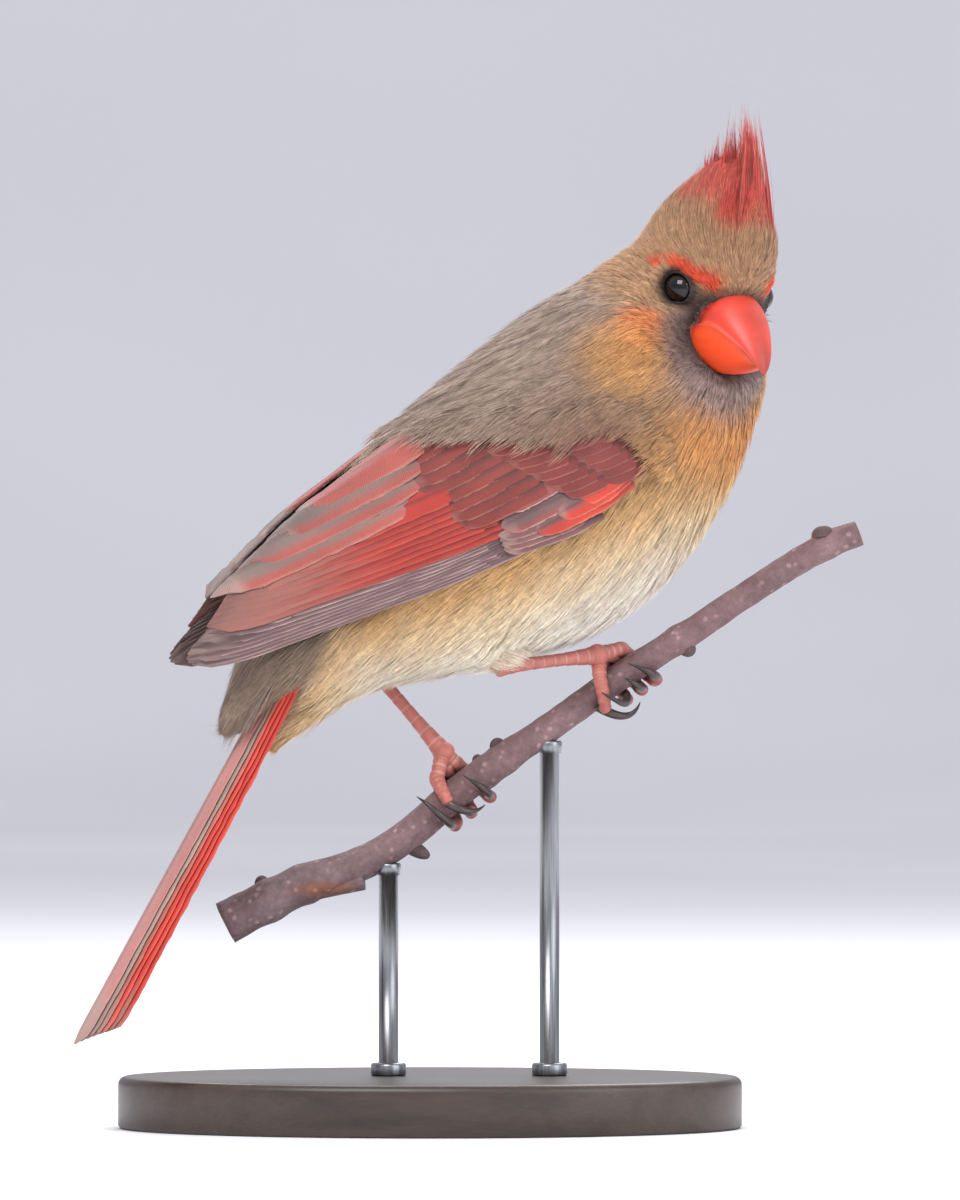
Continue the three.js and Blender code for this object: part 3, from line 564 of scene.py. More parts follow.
def bill_gap(points):
    """Distance of points in the world from the root of the bill."""
    return np.linalg.norm(mirrored(in_frame(points, head_matrix)) - BILL_ROOT, axis=-1)


def eye_axis(side):
    forward = np.array([math.sin(EYE["forward"]), side * math.cos(EYE["forward"]), 0])
    centre = np.array([EYE["at"][0], side * EYE["at"][1], EYE["at"][2]])
    return centre, forward


def eye_places(points, side):
    """Distance from the eye's axis, and how far out along it, of points in the world."""
    centre, forward = eye_axis(side)
    q = in_frame(points, head_matrix) - centre
    out = q @ forward
    return np.linalg.norm(q - out[:, None] * forward, axis=-1), out


def eye_gap(points):
    """Distance from the nearer eye's axis, counted on the eye's own side of the head only."""
    gaps = []
    for side in SIDES.values():
        around, out = eye_places(points, side)
        gaps.append(np.where(out > -3, around, 99))
    return np.minimum(*gaps)


def coat_depth(points):
    near = head_share(points)
    face = np.maximum(1 - step(9, 17, bill_gap(points)), 1 - step(4, 8, eye_gap(points)))
    depth = mix(COAT_DEPTH["body"], COAT_DEPTH["head"], near)
    return mix(depth, COAT_DEPTH["face"], face * near)


def keep_largest(shell):
    """Leaves only the largest closed surface of a bmesh."""
    seen, groups = set(), []
    for start in shell.verts:
        if start in seen:
            continue
        group, queue = [], [start]
        seen.add(start)
        while queue:
            vert = queue.pop()
            group.append(vert)
            for edge in vert.link_edges:
                other = edge.other_vert(vert)
                if other not in seen:
                    seen.add(other)
                    queue.append(other)
        groups.append(group)
    groups.sort(key=len)
    bmesh.ops.delete(shell, geom=[v for group in groups[:-1] for v in group], context="VERTS")
    shell.verts.index_update()


def point_normals(points, triangles):
    a, b, c = (points[triangles[:, k]] for k in range(3))
    normal = np.cross(b - a, c - a)
    total = np.zeros((len(points), 3))
    for k in range(3):
        for axis in range(3):
            total[:, axis] += np.bincount(triangles[:, k], normal[:, axis], len(points))
    return unit(total)


def make_skin():
    """One closed surface that lies inside the solids of flesh by the coat's depth."""
    parts = [cad_form(name) for name in FLESH if name != "head"]
    parts.append(head_form())
    for side in SIDES.values():
        parts += [wing_leaf(side, WING_CORE), wing_leaf(side, SCAPULARS)]
    points, faces, _ = merged(parts)
    rough = add_object("rough", new_mesh("rough", points, faces))
    remesh = rough.modifiers.new("remesh", "REMESH")
    remesh.mode = "VOXEL"
    remesh.voxel_size = SKIN_VOXEL * MM
    evaluated = rough.evaluated_get(bpy.context.evaluated_depsgraph_get())
    mesh = bpy.data.meshes.new_from_object(evaluated)
    bpy.data.objects.remove(rough)
    shell = bmesh.new()
    shell.from_mesh(mesh)
    keep_largest(shell)
    bmesh.ops.triangulate(shell, faces=shell.faces)
    shell.verts.ensure_lookup_table()
    points, triangles = shell_arrays(shell)
    edges = np.array([[v.index for v in e.verts] for e in shell.edges])
    shell.free()
    points = smoothed(points / MM, edges, SKIN_ROUNDS)
    points = points - point_normals(points, triangles) * coat_depth(points)[:, None]
    for side in SIDES.values():
        around, out = eye_places(points, side)
        limit = mix(1.1, 5.0, step(3.1, SOCKET_RADIUS, around))
        sink = np.where((around < SOCKET_RADIUS) & (out > limit), out - limit, 0)
        points = points - sink[:, None] * (head_matrix[:3, :3] @ eye_axis(side)[1])
    return smoothed(points, edges, 2), triangles


# Markings: the same for skin and coat, read at any point near the surface
BODY_TONES = [  # tone of the height above the body's axis, which falls towards the vent
    (-40, "f4ebdf"), (-33, "efe0ca"), (-28, "ead0aa"), (-22, "deb57e"), (-16, "cb9f6c"), (-8, "ab8762"),
    (0, "a3836a"), (10, "a08876"), (18, "a69182"), (24, "ac998b"),
]
HIND_TONES = [  # the same behind the legs
    (-20, "f3ece0"), (-10, "eeddc4"), (-5, "e8cba2"), (-1.2, "e0bd90"), (1, "97836f"), (14, "9a8575"),
]
HEAD_TONES = [  # tone of the height above the eye line
    (-24, "c69c6c"), (-12, "b8906a"), (-4, "b58d6a"), (6, "b28b69"), (14, "a8805f"), (22, "ad6f58"),
]
BROW = [(-5, 13.6, 4.4), (-3.4, 13.2, 6), (-0.5, 11.8, 5.6), (3.2, 9.2, 4.4), (6, 6.4, 3.4)]
LORES = [(2.2, 11, 2.6), (3.8, 9.6, 0.8), (5.6, 8.2, -1.4), (7, 7.4, -3)]


def tones(table, value):
    places = [row[0] for row in table]
    colours = np.array([srgb(row[1]) for row in table])
    return np.stack([np.interp(value, places, colours[:, k]) for k in range(3)], -1)


def from_line(points, line):
    """Distance of points from a bent line."""
    line = np.array(line, float)
    best = np.full(len(points), 1e9)
    for a, b in zip(line[:-1], line[1:]):
        t = np.clip((points - a) @ (b - a) / ((b - a) @ (b - a)), 0, 1)
        best = np.minimum(best, np.linalg.norm(points - a - t[:, None] * (b - a), axis=-1))
    return best


def painted(points):
    """Linear colour of the plumage at points in the world, in millimetres."""
    b = mirrored(in_frame(points, body_matrix))
    q = mirrored(in_frame(points, head_matrix))
    broad, fine = wobble(points, 14, 1), wobble(points, 4, 2)
    rust = 0.5 + 0.5 * wobble(points, 6, 3)
    near = head_share(points)
    key = b[:, 2] + 0.27 * (b[:, 0] - 34) * (1 - step(-6, 8, b[:, 2])) + 1.6 * broad + fine
    hind = tones(HIND_TONES, b[:, 2] - 0.48 * (b[:, 0] + 36) * (b[:, 0] > -75) + 1.3 * fine)
    colour = mix(tones(BODY_TONES, key), hind, (1 - step(-40, -30, b[:, 0]))[:, None])
    colour = mix(colour, tones(HEAD_TONES, q[:, 2] + fine), near[:, None])
    brow = 1 - step(0.9, 2.2, from_line(q, BROW) + 0.35 * fine + 0.3 * wobble(points, 2, 6))
    lid = (1 - step(3.6, 4.7, eye_gap(points))) * near
    layers = [
        # Throat, cheek and ear
        ("dd9a58", 0.75 * blob(q, (12, 0, -25), (15, 15, 8), 0.5)),
        ("dd7440", (0.55 + 0.4 * rust) * blob(q, (5, 19, -7), (5, 5.5, 5.5), 0.5)),
        ("dba05a", 0.7 * blob(q, (4, 20, -15), (8, 9, 8), 0.5)),
        # Crest
        ("c8544a", 0.85 * step(15, 20.5, q[:, 2] + 2.2 * wobble(points, 3, 4))),
        ("b8322c", 0.8 * blob(q, (3.6, 4, 19), (3.5, 4, 4.5), 0.5)),
        # Dark mask round the bill, grey chin and lores
        ("6f5c58", 0.95 * blob(q, (8, 0, -8.5), (11.5, 15.5, 10.5), 0.22)),
        ("a08c84", 0.8 * blob(q, (12, 0, -16), (9, 13, 6), 0.4)),
        ("3d2d29", 0.8 * blob(q, (8, 0, -6), (8.5, 11.5, 9.5), 0.2)),
        ("2c1f1c", 0.9 * (1 - step(1.4, 3.4, from_line(q, LORES) + 0.6 * fine))),
        # Brow and rim of the eye
        ("c8693f", 0.6 * blob(q, (6.4, 7, 4.2), (3, 3.4, 2.6), 0.4)),
        ("dc4a2b", 0.92 * brow),
        ("33261f", 0.8 * lid * (1 - brow)),
        # Shoulder
        ("8a5f59", 0.5 * blob(b, (22, 21, -4), (10, 10, 6), 0.35)),
    ]
    for code, share in layers:
        colour = mix(colour, srgb(code), np.clip(share, 0, 1)[:, None])
    return np.clip(colour * (1 + 0.05 * fine + 0.05 * broad)[:, None], 0, 1)


# The coat: small feathers of a few hair-like barbs, rooted on the skin and lying along the body
def flow(points, normals):
    """Direction in which the feathers lie."""
    q = in_frame(points, head_matrix)
    from_bill = unit(q - (BILL_ROOT + np.array([3, 0, 1])))
    from_bill[:, 2] += 0.9 * step(6, 16, q[:, 2])
    on_head = from_bill @ head_matrix[:3, :3].T
    b = in_frame(points, body_matrix)
    back = np.zeros_like(b)
    back[:, 0] = -1
    back[:, 2] = -0.12 * step(20, 8, b[:, 2]) - 0.1 * step(-10, -25, b[:, 2])
    on_body = unit(back) @ body_matrix[:3, :3].T
    along_wing = np.array([-math.cos(WING["fall"]), 0, -math.sin(WING["fall"])])
    wing = step(14, 19, np.abs(b[:, 1])) * step(-14, -6, b[:, 2])
    on_body = mix(on_body, along_wing, 0.6 * wing[:, None])
    way = mix(on_body, on_head, step(0, 1, head_share(points))[:, None])
    return unit(way - (way * normals).sum(-1, keepdims=True) * normals)


def surface_tree(points, triangles):
    return BVHTree.FromPolygons(points.tolist(), triangles.tolist())


def spread(points, triangles, density, seed):
    """Places spread over a surface, with their normals; density is in places for each square millimetre."""
    draw = np.random.default_rng(seed)
    a, b, c = (points[triangles[:, k]] for k in range(3))
    cross = np.cross(b - a, c - a)
    area = np.linalg.norm(cross, axis=-1) / 2
    total = np.concatenate([[0], np.cumsum(area * density((a + b + c) / 3))])
    count = int(total[-1])
    picks = (np.arange(count) + draw.uniform(0, 1, count)) / count * total[-1]
    pick = np.clip(np.searchsorted(total, picks, side="right") - 1, 0, len(triangles) - 1)
    u, v = draw.uniform(0, 1, (2, count))
    flip = u + v > 1
    u, v = np.where(flip, 1 - u, u)[:, None], np.where(flip, 1 - v, v)[:, None]
    return a[pick] + u * (b[pick] - a[pick]) + v * (c[pick] - a[pick]), unit(cross[pick])


def unwrap(points):
    """Place of skin points on a flat map, turned round the body's axis; the head has its own strip."""
    b = in_frame(points, body_matrix)
    round_body = np.arctan2(b[:, 1], b[:, 2] + 5) / TAU + 0.5
    along = np.clip((b[:, 0] + 75) / 140, 0, 1)
    q = in_frame(points, head_matrix) - np.array([-6, 0, 0])
    round_head = np.arctan2(q[:, 1], q[:, 0]) / TAU + 0.5
    up = np.clip((q[:, 2] + 30) / 70, 0, 1)
    on_head = head_share(points) > 0.5
    u = np.where(on_head, round_head, round_body)
    v = np.where(on_head, 0.66 + 0.32 * up, 0.01 + 0.62 * along)
    return np.stack([0.005 + 0.985 * u, v], -1)


class Barbs:
    """Collects the points, colours and bake places of tapered barbs, one barb of every tuft at a time."""

    def __init__(self, roots):
        self.flat = unwrap(roots)
        self.row = ([], [], [])
        self.done = ([], [], [])

    def add(self, point, colour, across, share):
        spot = self.flat + PATCH * np.array([across / 2, share])
        for values, value in zip(self.row, (point, colour, spot)):
            values.append(value)

    def close(self):
        for done, values in zip(self.done, self.row):
            done.append(np.stack(values, 1))
            values.clear()

    def made(self, steps):
        """Points, colours and places by tuft, barb and point, and the triangles of one barb."""
        corner = np.arange(steps - 1)[:, None] * 2
        strip = np.concatenate([corner + np.array([0, 1, 3]), corner + np.array([0, 3, 2])])
        end = 2 * (steps - 1)
        faces = np.vstack([strip, [[end, end + 1, end + 2]]])
        return (*(np.stack(done, 1) for done in self.done), faces)


def followed(roots, normals, length, turn, tree):
    """Steps over the surface from each root along the flow, and the normals there."""
    path, ups = [roots], [normals]
    for _ in range(BARB_STEPS):
        way = flow(path[-1], ups[-1])
        way = unit(way + np.cross(ups[-1], way) * turn)
        ahead = path[-1] + way * (length / BARB_STEPS)[:, None]
        found = [tree.find_nearest(p)[:2] for p in ahead.tolist()]
        path.append(np.array([f[0] for f in found]))
        ups.append(unit(np.array([f[1] for f in found]) + 0.6 * ups[-1]))
    return np.array(path), np.array(ups)


def tufts(roots, normals, length, wide, lift, tree, seed):
    """Small feathers as fans of tapered barbs that follow the surface."""
    draw = np.random.default_rng(seed)
    count = len(roots)
    length = length * draw.uniform(0.75, 1.2, count)
    turn = draw.normal(0, 0.13, count)[:, None]
    path, ups = followed(roots, normals, length, turn, tree)
    ways = np.gradient(path, axis=0)
    sides = unit(np.cross(ups, ways))
    t = np.linspace(0, 1, BARB_STEPS + 1)
    height = lift[None, :] * (0.12 + 0.95 * t[:, None] ** 0.8) * draw.uniform(0.7, 1.15, count)
    middle = path + ups * height[..., None]
    colour = np.array([painted(p) for p in path])
    bright = draw.normal(1, 0.1, (count, 1))
    fans = Barbs(roots)
    pick = np.arange(count)
    for k in range(COAT_BARBS):
        across = (k + 0.5) / COAT_BARBS * 2 - 1
        jitter = draw.uniform(-0.16, 0.16, count)
        reach = 1 - 0.3 * across**2 + draw.uniform(-0.12, 0.12, count)
        tilt = draw.uniform(-0.7, 0.7, count)
        own = bright * draw.normal(1, 0.13, (count, 1))
        for n, share in enumerate(t):
            spot = share * reach * BARB_STEPS
            low = np.clip(np.floor(spot).astype(int), 0, BARB_STEPS - 1)
            part = (spot - low)[:, None]
            p = mix(middle[low, pick], middle[low + 1, pick], part)
            p = p + (np.maximum(spot - BARB_STEPS, 0) * length / BARB_STEPS)[:, None] * unit(ways[-1])
            side, up = sides[low, pick], ups[low, pick]
            fan = wide * (across + jitter) * (0.25 + 0.75 * share**0.8) * (1 if n else 0.6)
            p = p + side * fan[:, None] + up * (0.1 * lift * jitter * 3)[:, None]
            half = BARB_WIDTH * (1 - 0.9 * share**1.6) / 2
            edge = (side * np.cos(tilt)[:, None] + up * np.sin(tilt)[:, None]) * half
            shade = mix(DARK_ROOT, 1.1, min(1, share * 1.4)) * own
            c = mix(colour[low, pick], colour[low + 1, pick], np.clip(part, 0, 1)) * shade
            if n < BARB_STEPS:
                fans.add(p - edge, c, across - 0.1, share)
                fans.add(p + edge, c, across + 0.1, share)
            else:
                fans.add(p, c, across, share)
        fans.close()
    return fans.made(BARB_STEPS)


def loose_tufts(root, tip, across, colour_of, seed, barbs=9, steps=6, fan=1.0, half=0.13, bow=0.0):
    """Feathers from root to tip whose barbs fan out along across; colour_of(share, kind) gives colours."""
    draw = np.random.default_rng(seed)
    count = len(root)
    fans = Barbs(root)
    for k in range(barbs):
        aside = (k + 0.5) / barbs * 2 - 1
        own = draw.normal(0, 0.25, (count, 3)) * min(fan, 1)
        end = 1 - 0.22 * abs(aside) + draw.uniform(-0.16, 0.06, count)
        kind = draw.uniform(0, 1, (count, 1))
        tilt = own[:, :1] * 3
        for n, share in enumerate(np.linspace(0, 1, steps + 1)):
            along = (share * end)[:, None]
            swell = np.sin(along * math.pi)
            p = mix(root, tip, along) + bow * swell + own * share
            p = p + across * aside * fan * (0.35 + 0.75 * swell)
            edge = (across * np.cos(tilt) + unit(np.cross(tip - root, across)) * np.sin(tilt)) * half
            edge = edge * (1 - 0.85 * share**1.5)
            c = np.clip(colour_of(along, kind) * (1 + 0.45 * own[:, 1:2]), 0, 1)
            for m, corner in enumerate([p] if n == steps else [p - edge, p + edge]):
                fans.add(corner, c, aside + 0.1 * m, share)
        fans.close()
    return fans.made(steps)


coat = coat_material()


def coat_piece(name, made, slot="body_plumage", keep=slice(None)):
    """One coat piece from the tufts that keep picks out."""
    points, colours, maps = (values[keep] for values in made[:3])
    size = points.shape[2]
    total = points.shape[0] * points.shape[1]
    faces = (np.arange(total)[:, None, None] * size + made[3]).reshape(-1, 3)
    maps = {BAKE_MAP: maps.reshape(-1, 2)}
    mesh = new_mesh(name, points.reshape(-1, 3), [faces], colours.reshape(-1, 3), maps)
    add_piece(name, mesh, coat, outward=False)


# Feathers with a vane on both sides of a shaft
def rounded_tip(t, start, tip_share):
    """Share of the full width along a feather: it narrows to the root and rounds off at the tip."""
    root = mix(start, 1, step(0, 0.4, t))
    end = np.sqrt(np.clip(1 - ((t - 1 + tip_share) / tip_share).clip(0) ** 2.2, 0, 1))
    return root * np.maximum(end, 0.05)


VANE_COLUMNS = 17
VANE_THICK = 0.22


def vane(spot, length, half, colour_of, seed, start=0.6, tip=0.16, rows=26):
    """A feather as a closed thin form. spot(t, across, raise) gives points, and colour_of(t, w) colours."""
    draw = np.random.default_rng(seed)
    t = np.linspace(0, 1, rows)[:, None]
    even = np.linspace(-1, 1, VANE_COLUMNS)
    w = np.sign(even) * (1 - (1 - np.abs(even)) ** 2)
    width = half * rounded_tip(t, start, tip)
    fray = 1 + 0.05 * draw.uniform(-1, 1, (rows, VANE_COLUMNS)) * (np.abs(w) > 0.95)
    notch = np.ones((rows, VANE_COLUMNS))
    for _ in range(2):
        at, side = draw.uniform(0.35, 0.95), draw.choice([0, VANE_COLUMNS - 1])
        notch[int(at * (rows - 1)), side] = draw.uniform(0.72, 0.88)
    across = width * w * fray * notch
    shaft = 0.16 * np.exp(-((across / 0.28) ** 2)) * (1 - 0.8 * t)
    body = VANE_THICK * (1 - 0.8 * np.abs(w) ** 3)
    curl = 0.12 * half * (1 - w**2)
    t, w = np.broadcast_arrays(t, w)
    top = spot(t, across, curl * 0.5 + body / 2 + shaft)
    under = spot(t, across, curl * 0.5 - body / 2 - 0.5 * shaft)
    points, faces = loft(np.concatenate([top, under[:, ::-1]], axis=1))
    colour = colour_of(t, w)
    flat = np.stack([across, t * length], -1)
    colours = np.concatenate([colour, colour[:, ::-1] * 0.9], axis=1)
    places = np.concatenate([flat, flat[:, ::-1]], axis=1)
    return points, faces, np.hstack([capped(colours), capped(places)])


def web_colours(codes, band=1.0, rim=0.06, tip_long=0.1, outer_side=-1, seed=0):
    """Colours of a feather: outer web, inner web past the band that shows, rim and tip. The inner web's
    darker tone is partly its own colour and partly painted shade where the next feather lies over it.
    """
    outer, inner, edge, tip, shaft = (srgb(code) for code in (*codes, "3f2b29"))

    def colour_of(t, w):
        side = w * outer_side
        wave = np.sin(t * 23 + seed * 1.7 + w * 2) * 0.05
        colour = mix(inner, outer, step(1 - band * 1.35, 1 - band * 0.45, side + wave * band)[..., None])
        colour = mix(colour, edge, (0.9 * step(1 - rim * 1.6, 1 - rim * 0.5, side))[..., None])
        colour = mix(colour, edge, (0.5 * step(1 - rim * 1.2, 1, -side))[..., None])
        colour = mix(colour, tip, (0.8 * step(1 - tip_long * 1.6, 1 - tip_long * 0.3, t + wave))[..., None])
        line = np.exp(-((w / 0.09) ** 2))[..., None] * (1 - t[..., None] * 0.6)
        colour = mix(colour, shaft, 0.7 * line)
        shade = 1 + 0.08 * np.sin(t * 9 + seed) + 0.06 * math.sin(seed * 2.3)
        return np.clip(colour * shade[..., None], 0, 1)

    return colour_of


# Wing feathers, lowest first, as in the solids but more of them. A row gives the root and tip of its first
# and last feather as (distance along the wing, height above its lower edge); fall, by which the tips draw
# back, and the feather that reaches furthest; half width; lift of the first and last; share of the length
# that the rounded tip takes; colours of outer web, inner web, edge and tip; and the shares of the vane that
# the outer web's band, the rim and the tip's colour take
WING_ROWS = {
    "primaries": {
        "count": 9, "root": (14, -2.5), "root_end": (20.4, 1.9), "tip": (90, 0.6), "tip_end": (90, 5.6),
        "fall": (0.28, 1.5), "half": 2.7, "lift": (0.5, 1.4), "tip_shape": 0.2,
        "colours": ("75585a", "5a4643", "b39a90", "8d7770"), "band": 0.22, "rim": 0.05, "tip_long": 0.04,
    },
    "secondaries": {
        "count": 9, "root": (5, 2.2), "root_end": (18, 12), "tip": (84, 5.4), "tip_end": (73, 11.2),
        "half": 2.7, "lift": (1.6, 2.5), "tip_shape": 0.12,
        # The dark inner web is partly the feathers' own dusky colour and partly painted shade: a dark line
        # under the edge of the next feather
        "colours": ("a8342c", "42201f", "b04a3b", "94695f"), "band": 0.36, "rim": 0.08, "tip_long": 0.3,
    },
    "tertials": {
        "count": 4, "root": (29, 14.4), "root_end": (27, 22.6), "tip": (80, 11.2), "tip_end": (59, 18.9),
        "half": 3.9, "lift": (2.6, 3.3), "tip_shape": 0.16,
        "colours": ("a5534a", "7d6a64", "b0786c", "a18a80"), "band": 0.44, "rim": 0.06, "tip_long": 0.05,
    },
    "primary_coverts": {
        "count": 4, "root": (9, -3.2), "root_end": (9, 0), "tip": (29.4, -1.8), "tip_end": (29.4, 1),
        "half": 1.9, "lift": (1.5, 1.9), "tip_shape": 0.25,
        "colours": ("7c5450", "5d4744", "ae8a82", "9c8078"), "band": 0.6, "rim": 0.1, "tip_long": 0.08,
    },
    "inner_coverts": {
        "count": 2, "root": (9, 3.2), "root_end": (10, 6.6), "tip": (28.2, 2.2), "tip_end": (26.2, 5.4),
        "half": 2.5, "lift": (2.1, 2.5), "tip_shape": 0.22,
        "colours": ("8e4d48", "6d5453", "b98c84", "97716b"), "band": 0.5, "rim": 0.09, "tip_long": 0.08,
    },
    "greater_coverts": {
        "count": 8, "root": (10, 6.5), "root_end": (18, 21), "tip": (40, 5.6), "tip_end": (40, 19),
        "fall": (0.1, 7), "half": 2.4, "lift": (2.5, 3.1), "tip_shape": 0.2,
        "colours": ("80362f", "5c322e", "a3645a", "8a5a52"), "band": 0.8, "rim": 0.06, "tip_long": 0.05,
    },
    "alula": {
        "count": 3, "root": (1, 0.2), "root_end": (0, 3), "tip": (22.6, -0.8), "tip_end": (12.3, 1.4),
        "half": 2.4, "lift": (2.3, 2.9), "tip_shape": 0.25,
        "colours": ("c03f30", "735655", "cf6a56", "97716b"), "band": 0.85, "rim": 0.1, "tip_long": 0.06,
    },
    "median_coverts": {
        "count": 8, "root": (3, 3.2), "root_end": (10.5, 13.6), "tip": (14.6, 3), "tip_end": (25, 15.2),
        "half": 2.1, "lift": (3.0, 3.4), "tip_shape": 0.4,
        "colours": ("79322c", "6a3530", "955850", "85524a"), "band": 1, "rim": 0.1, "tip_long": 0.08,
    },
    "lesser_coverts": {
        "count": 6, "root": (-5, 2.6), "root_end": (-1, 10.6), "tip": (7, 2.2), "tip_end": (12, 10.6),
        "half": 2, "lift": (3.3, 3.6), "tip_shape": 0.5,
        "colours": ("7a3631", "6d3733", "8f524b", "80504a"), "band": 1, "rim": 0.1, "tip_long": 0.1,
    },
}
FULL_BAND = 3.0  # band of a row's last feather, whose whole width shows, with no painted shade of a feather lying over it
# Share of its lift that a feather has at the root and further out, and where along it that is reached
ROOT_LIFT, FULL_LIFT, LIFT_SHARE = 0.35, 0.94, 0.3


def wing_feather(side, row, group, i):
    """Feather i of a row, which lies a little over the one before it."""
    share = i / (group["count"] - 1)
    root = mix(np.array(group["root"], float), np.array(group["root_end"], float), share)
    tip = mix(np.array(group["tip"], float), np.array(group["tip_end"], float), share)
    fall, furthest = group.get("fall", (0, 0))
    tip[0] -= fall * (i - furthest) ** 2
    lift = mix(*group["lift"], share)
    half = group["half"]
    length = float(np.linalg.norm(tip - root))
    along = (tip - root) / length
    seed = 100 * row + 2 * i + (side > 0)

    def spot(t, across, rise):
        s = mix(root[0], tip[0], t) - along[1] * across
        h = mix(root[1], tip[1], t) + along[0] * across
        settle = np.where(t < LIFT_SHARE, mix(ROOT_LIFT, FULL_LIFT, t / LIFT_SHARE), 1 - 0.2 * t)
        lean = 0.16 - 0.18 * across / half
        return wing_spot(side, s, h, lift * settle + lean + rise - wing_tuck(s, h))

    band = group["band"] if share < 1 else FULL_BAND
    colours = web_colours(group["colours"], band, group["rim"], group["tip_long"], seed=seed)
    return vane(spot, length, half, colours, seed, tip=group["tip_shape"])


def wing_feathers(side):
    rows = enumerate(WING_ROWS.values())
    return [wing_feather(side, row, group, i) for row, group in rows for i in range(group["count"])]


TAIL = {
    "root": (-23.8, 93.8), "tip": (-66.2, 16), "roll": math.radians(-2), "pairs": 6,
    "root_spread": 0.7, "tip_spread": 1.05, "drop": 0.44, "shorter": 0.9, "arch": 0.02, "half": 4.8,
}
# Colours of the pairs from the middle out, the last for all outer pairs: outer web, inner web, edge and tip
TAIL_TONES = [
    ("bd7a72", "ab7a70", "c98f86", "a88a7e"),
    ("a89084", "7d645c", "b8a194", "a3887b"),
    ("c06353", "70504a", "c57767", "a58579"),
    ("d2362a", "6a3431", "dc5546", "ad776b"),
]


def tail_axes(roll=0):
    """Root and length of the tail, and the directions along it, across it and up from its back."""
    root, tip = (side_points(*TAIL[end], 0.0) for end in ("root", "tip"))
    length = float(np.linalg.norm(tip - root))
    along = (tip - root) / length
    across = np.array([-math.sin(BODY["yaw"]), math.cos(BODY["yaw"]), 0])
    if roll:
        across = np.array(Matrix.Rotation(roll, 3, Vector(along)) @ Vector(across))
    return root, length, along, across, unit(np.cross(across, along))


def tail_feather(pair, side):
    root, length, along, across, back = tail_axes(TAIL["roll"])
    reach = length - TAIL["shorter"] * pair
    rise = 1.7 - TAIL["drop"] * pair - (0.2 if side > 0 else 0)

    def spot(t, aside, lift):
        out = side * (0.5 + pair * mix(TAIL["root_spread"], TAIL["tip_spread"], t)) + aside
        up = rise + lift - TAIL["arch"] * out**2
        return root + (reach * t)[..., None] * along + out[..., None] * across + up[..., None] * back

    codes = TAIL_TONES[min(pair, len(TAIL_TONES) - 1)]
    colours = web_colours(codes, 0.3 if pair else 1, outer_side=side, seed=pair * 2)
    seed = 900 + 2 * pair + (side > 0)
    return vane(spot, length, TAIL["half"], colours, seed, start=0.75, tip=0.06, rows=40)


def tail_feathers():
    """The closed tail: pairs of feathers stacked like a shallow roof, the middle pair on top."""
    return [tail_feather(pair, side) for pair in range(TAIL["pairs"]) for side in (LEFT, RIGHT)]


# Perch: X, Z and radius of the branch's centre line, and buds as X, angle round it, length, radius
PERCH_Y = 2
PERCH = [
    (-39.4, 39.4, 4.1), (-31, 43.6, 3.9), (-23, 47.2, 3.7), (-14, 50.4, 3.3), (-5, 55.8, 3.1),
    (4, 63.6, 3.05), (14, 70.8, 2.9), (26, 79, 2.7), (36, 86.4, 2.7), (50, 95.4, 2.6), (64, 104.6, 2.5),
    (76, 111.8, 2.6), (82.6, 114.4, 2.4),
]
BUDS = [
    (14.4, 8, 1.3, 1.6), (10.6, 4, 0.8, 1.1), (-5, 175, 2.8, 1.4), (76.5, 0, 1.2, 2.2),
    (48, 178, 1.4, 1.6), (-31, 8, 1.2, 1.4),
]
KNOTS = (-31, -24, 10.6, 14.4, 48, 76.5)
BARK = {
    "base": "85696b", "old": "86777a", "dark": "6a4f4e", "scar": "9b5f3c", "bud": "3b2a27", "cut": "b79e84",
}


def perch_at(x):
    z, radius = read_table(PERCH, x).T
    x = np.atleast_1d(np.asarray(x, float))
    return np.stack([x, np.full_like(x, PERCH_Y), z], -1), radius


def beside_branch(x, angle, distance, shift):
    """Points beside the branch: angle 0 is on its upper side, 90 on the far side, -90 on the near side."""
    centre, radius = perch_at(x)
    along = unit(perch_at(x + 1)[0] - perch_at(x - 1)[0])[0]
    up = np.array([-along[2], 0, along[0]])
    angle, distance, shift = (np.atleast_1d(np.asarray(v, float)) for v in (angle, distance, shift))
    a = np.radians(angle)[:, None]
    out = np.cos(a) * up + np.sin(a) * np.array([0.0, 1, 0])
    return centre[0] + out * (radius[0] + distance)[:, None] + shift[:, None] * along


def bark_colour(points):
    base = np.tile(srgb(BARK["base"]), (len(points), 1))
    base = mix(base, srgb(BARK["old"]), (step(10, -30, points[:, 0]) * 0.6)[:, None])
    base = mix(base, srgb(BARK["dark"]), (0.5 + 0.5 * wobble(points, 7, 22))[:, None].clip(0, 1) * 0.6)
    scar = blob(points, (-20.5, -1, 46), (6, 4, 1.4), 0.4)
    return mix(base, srgb(BARK["scar"]), 0.6 * scar[:, None])


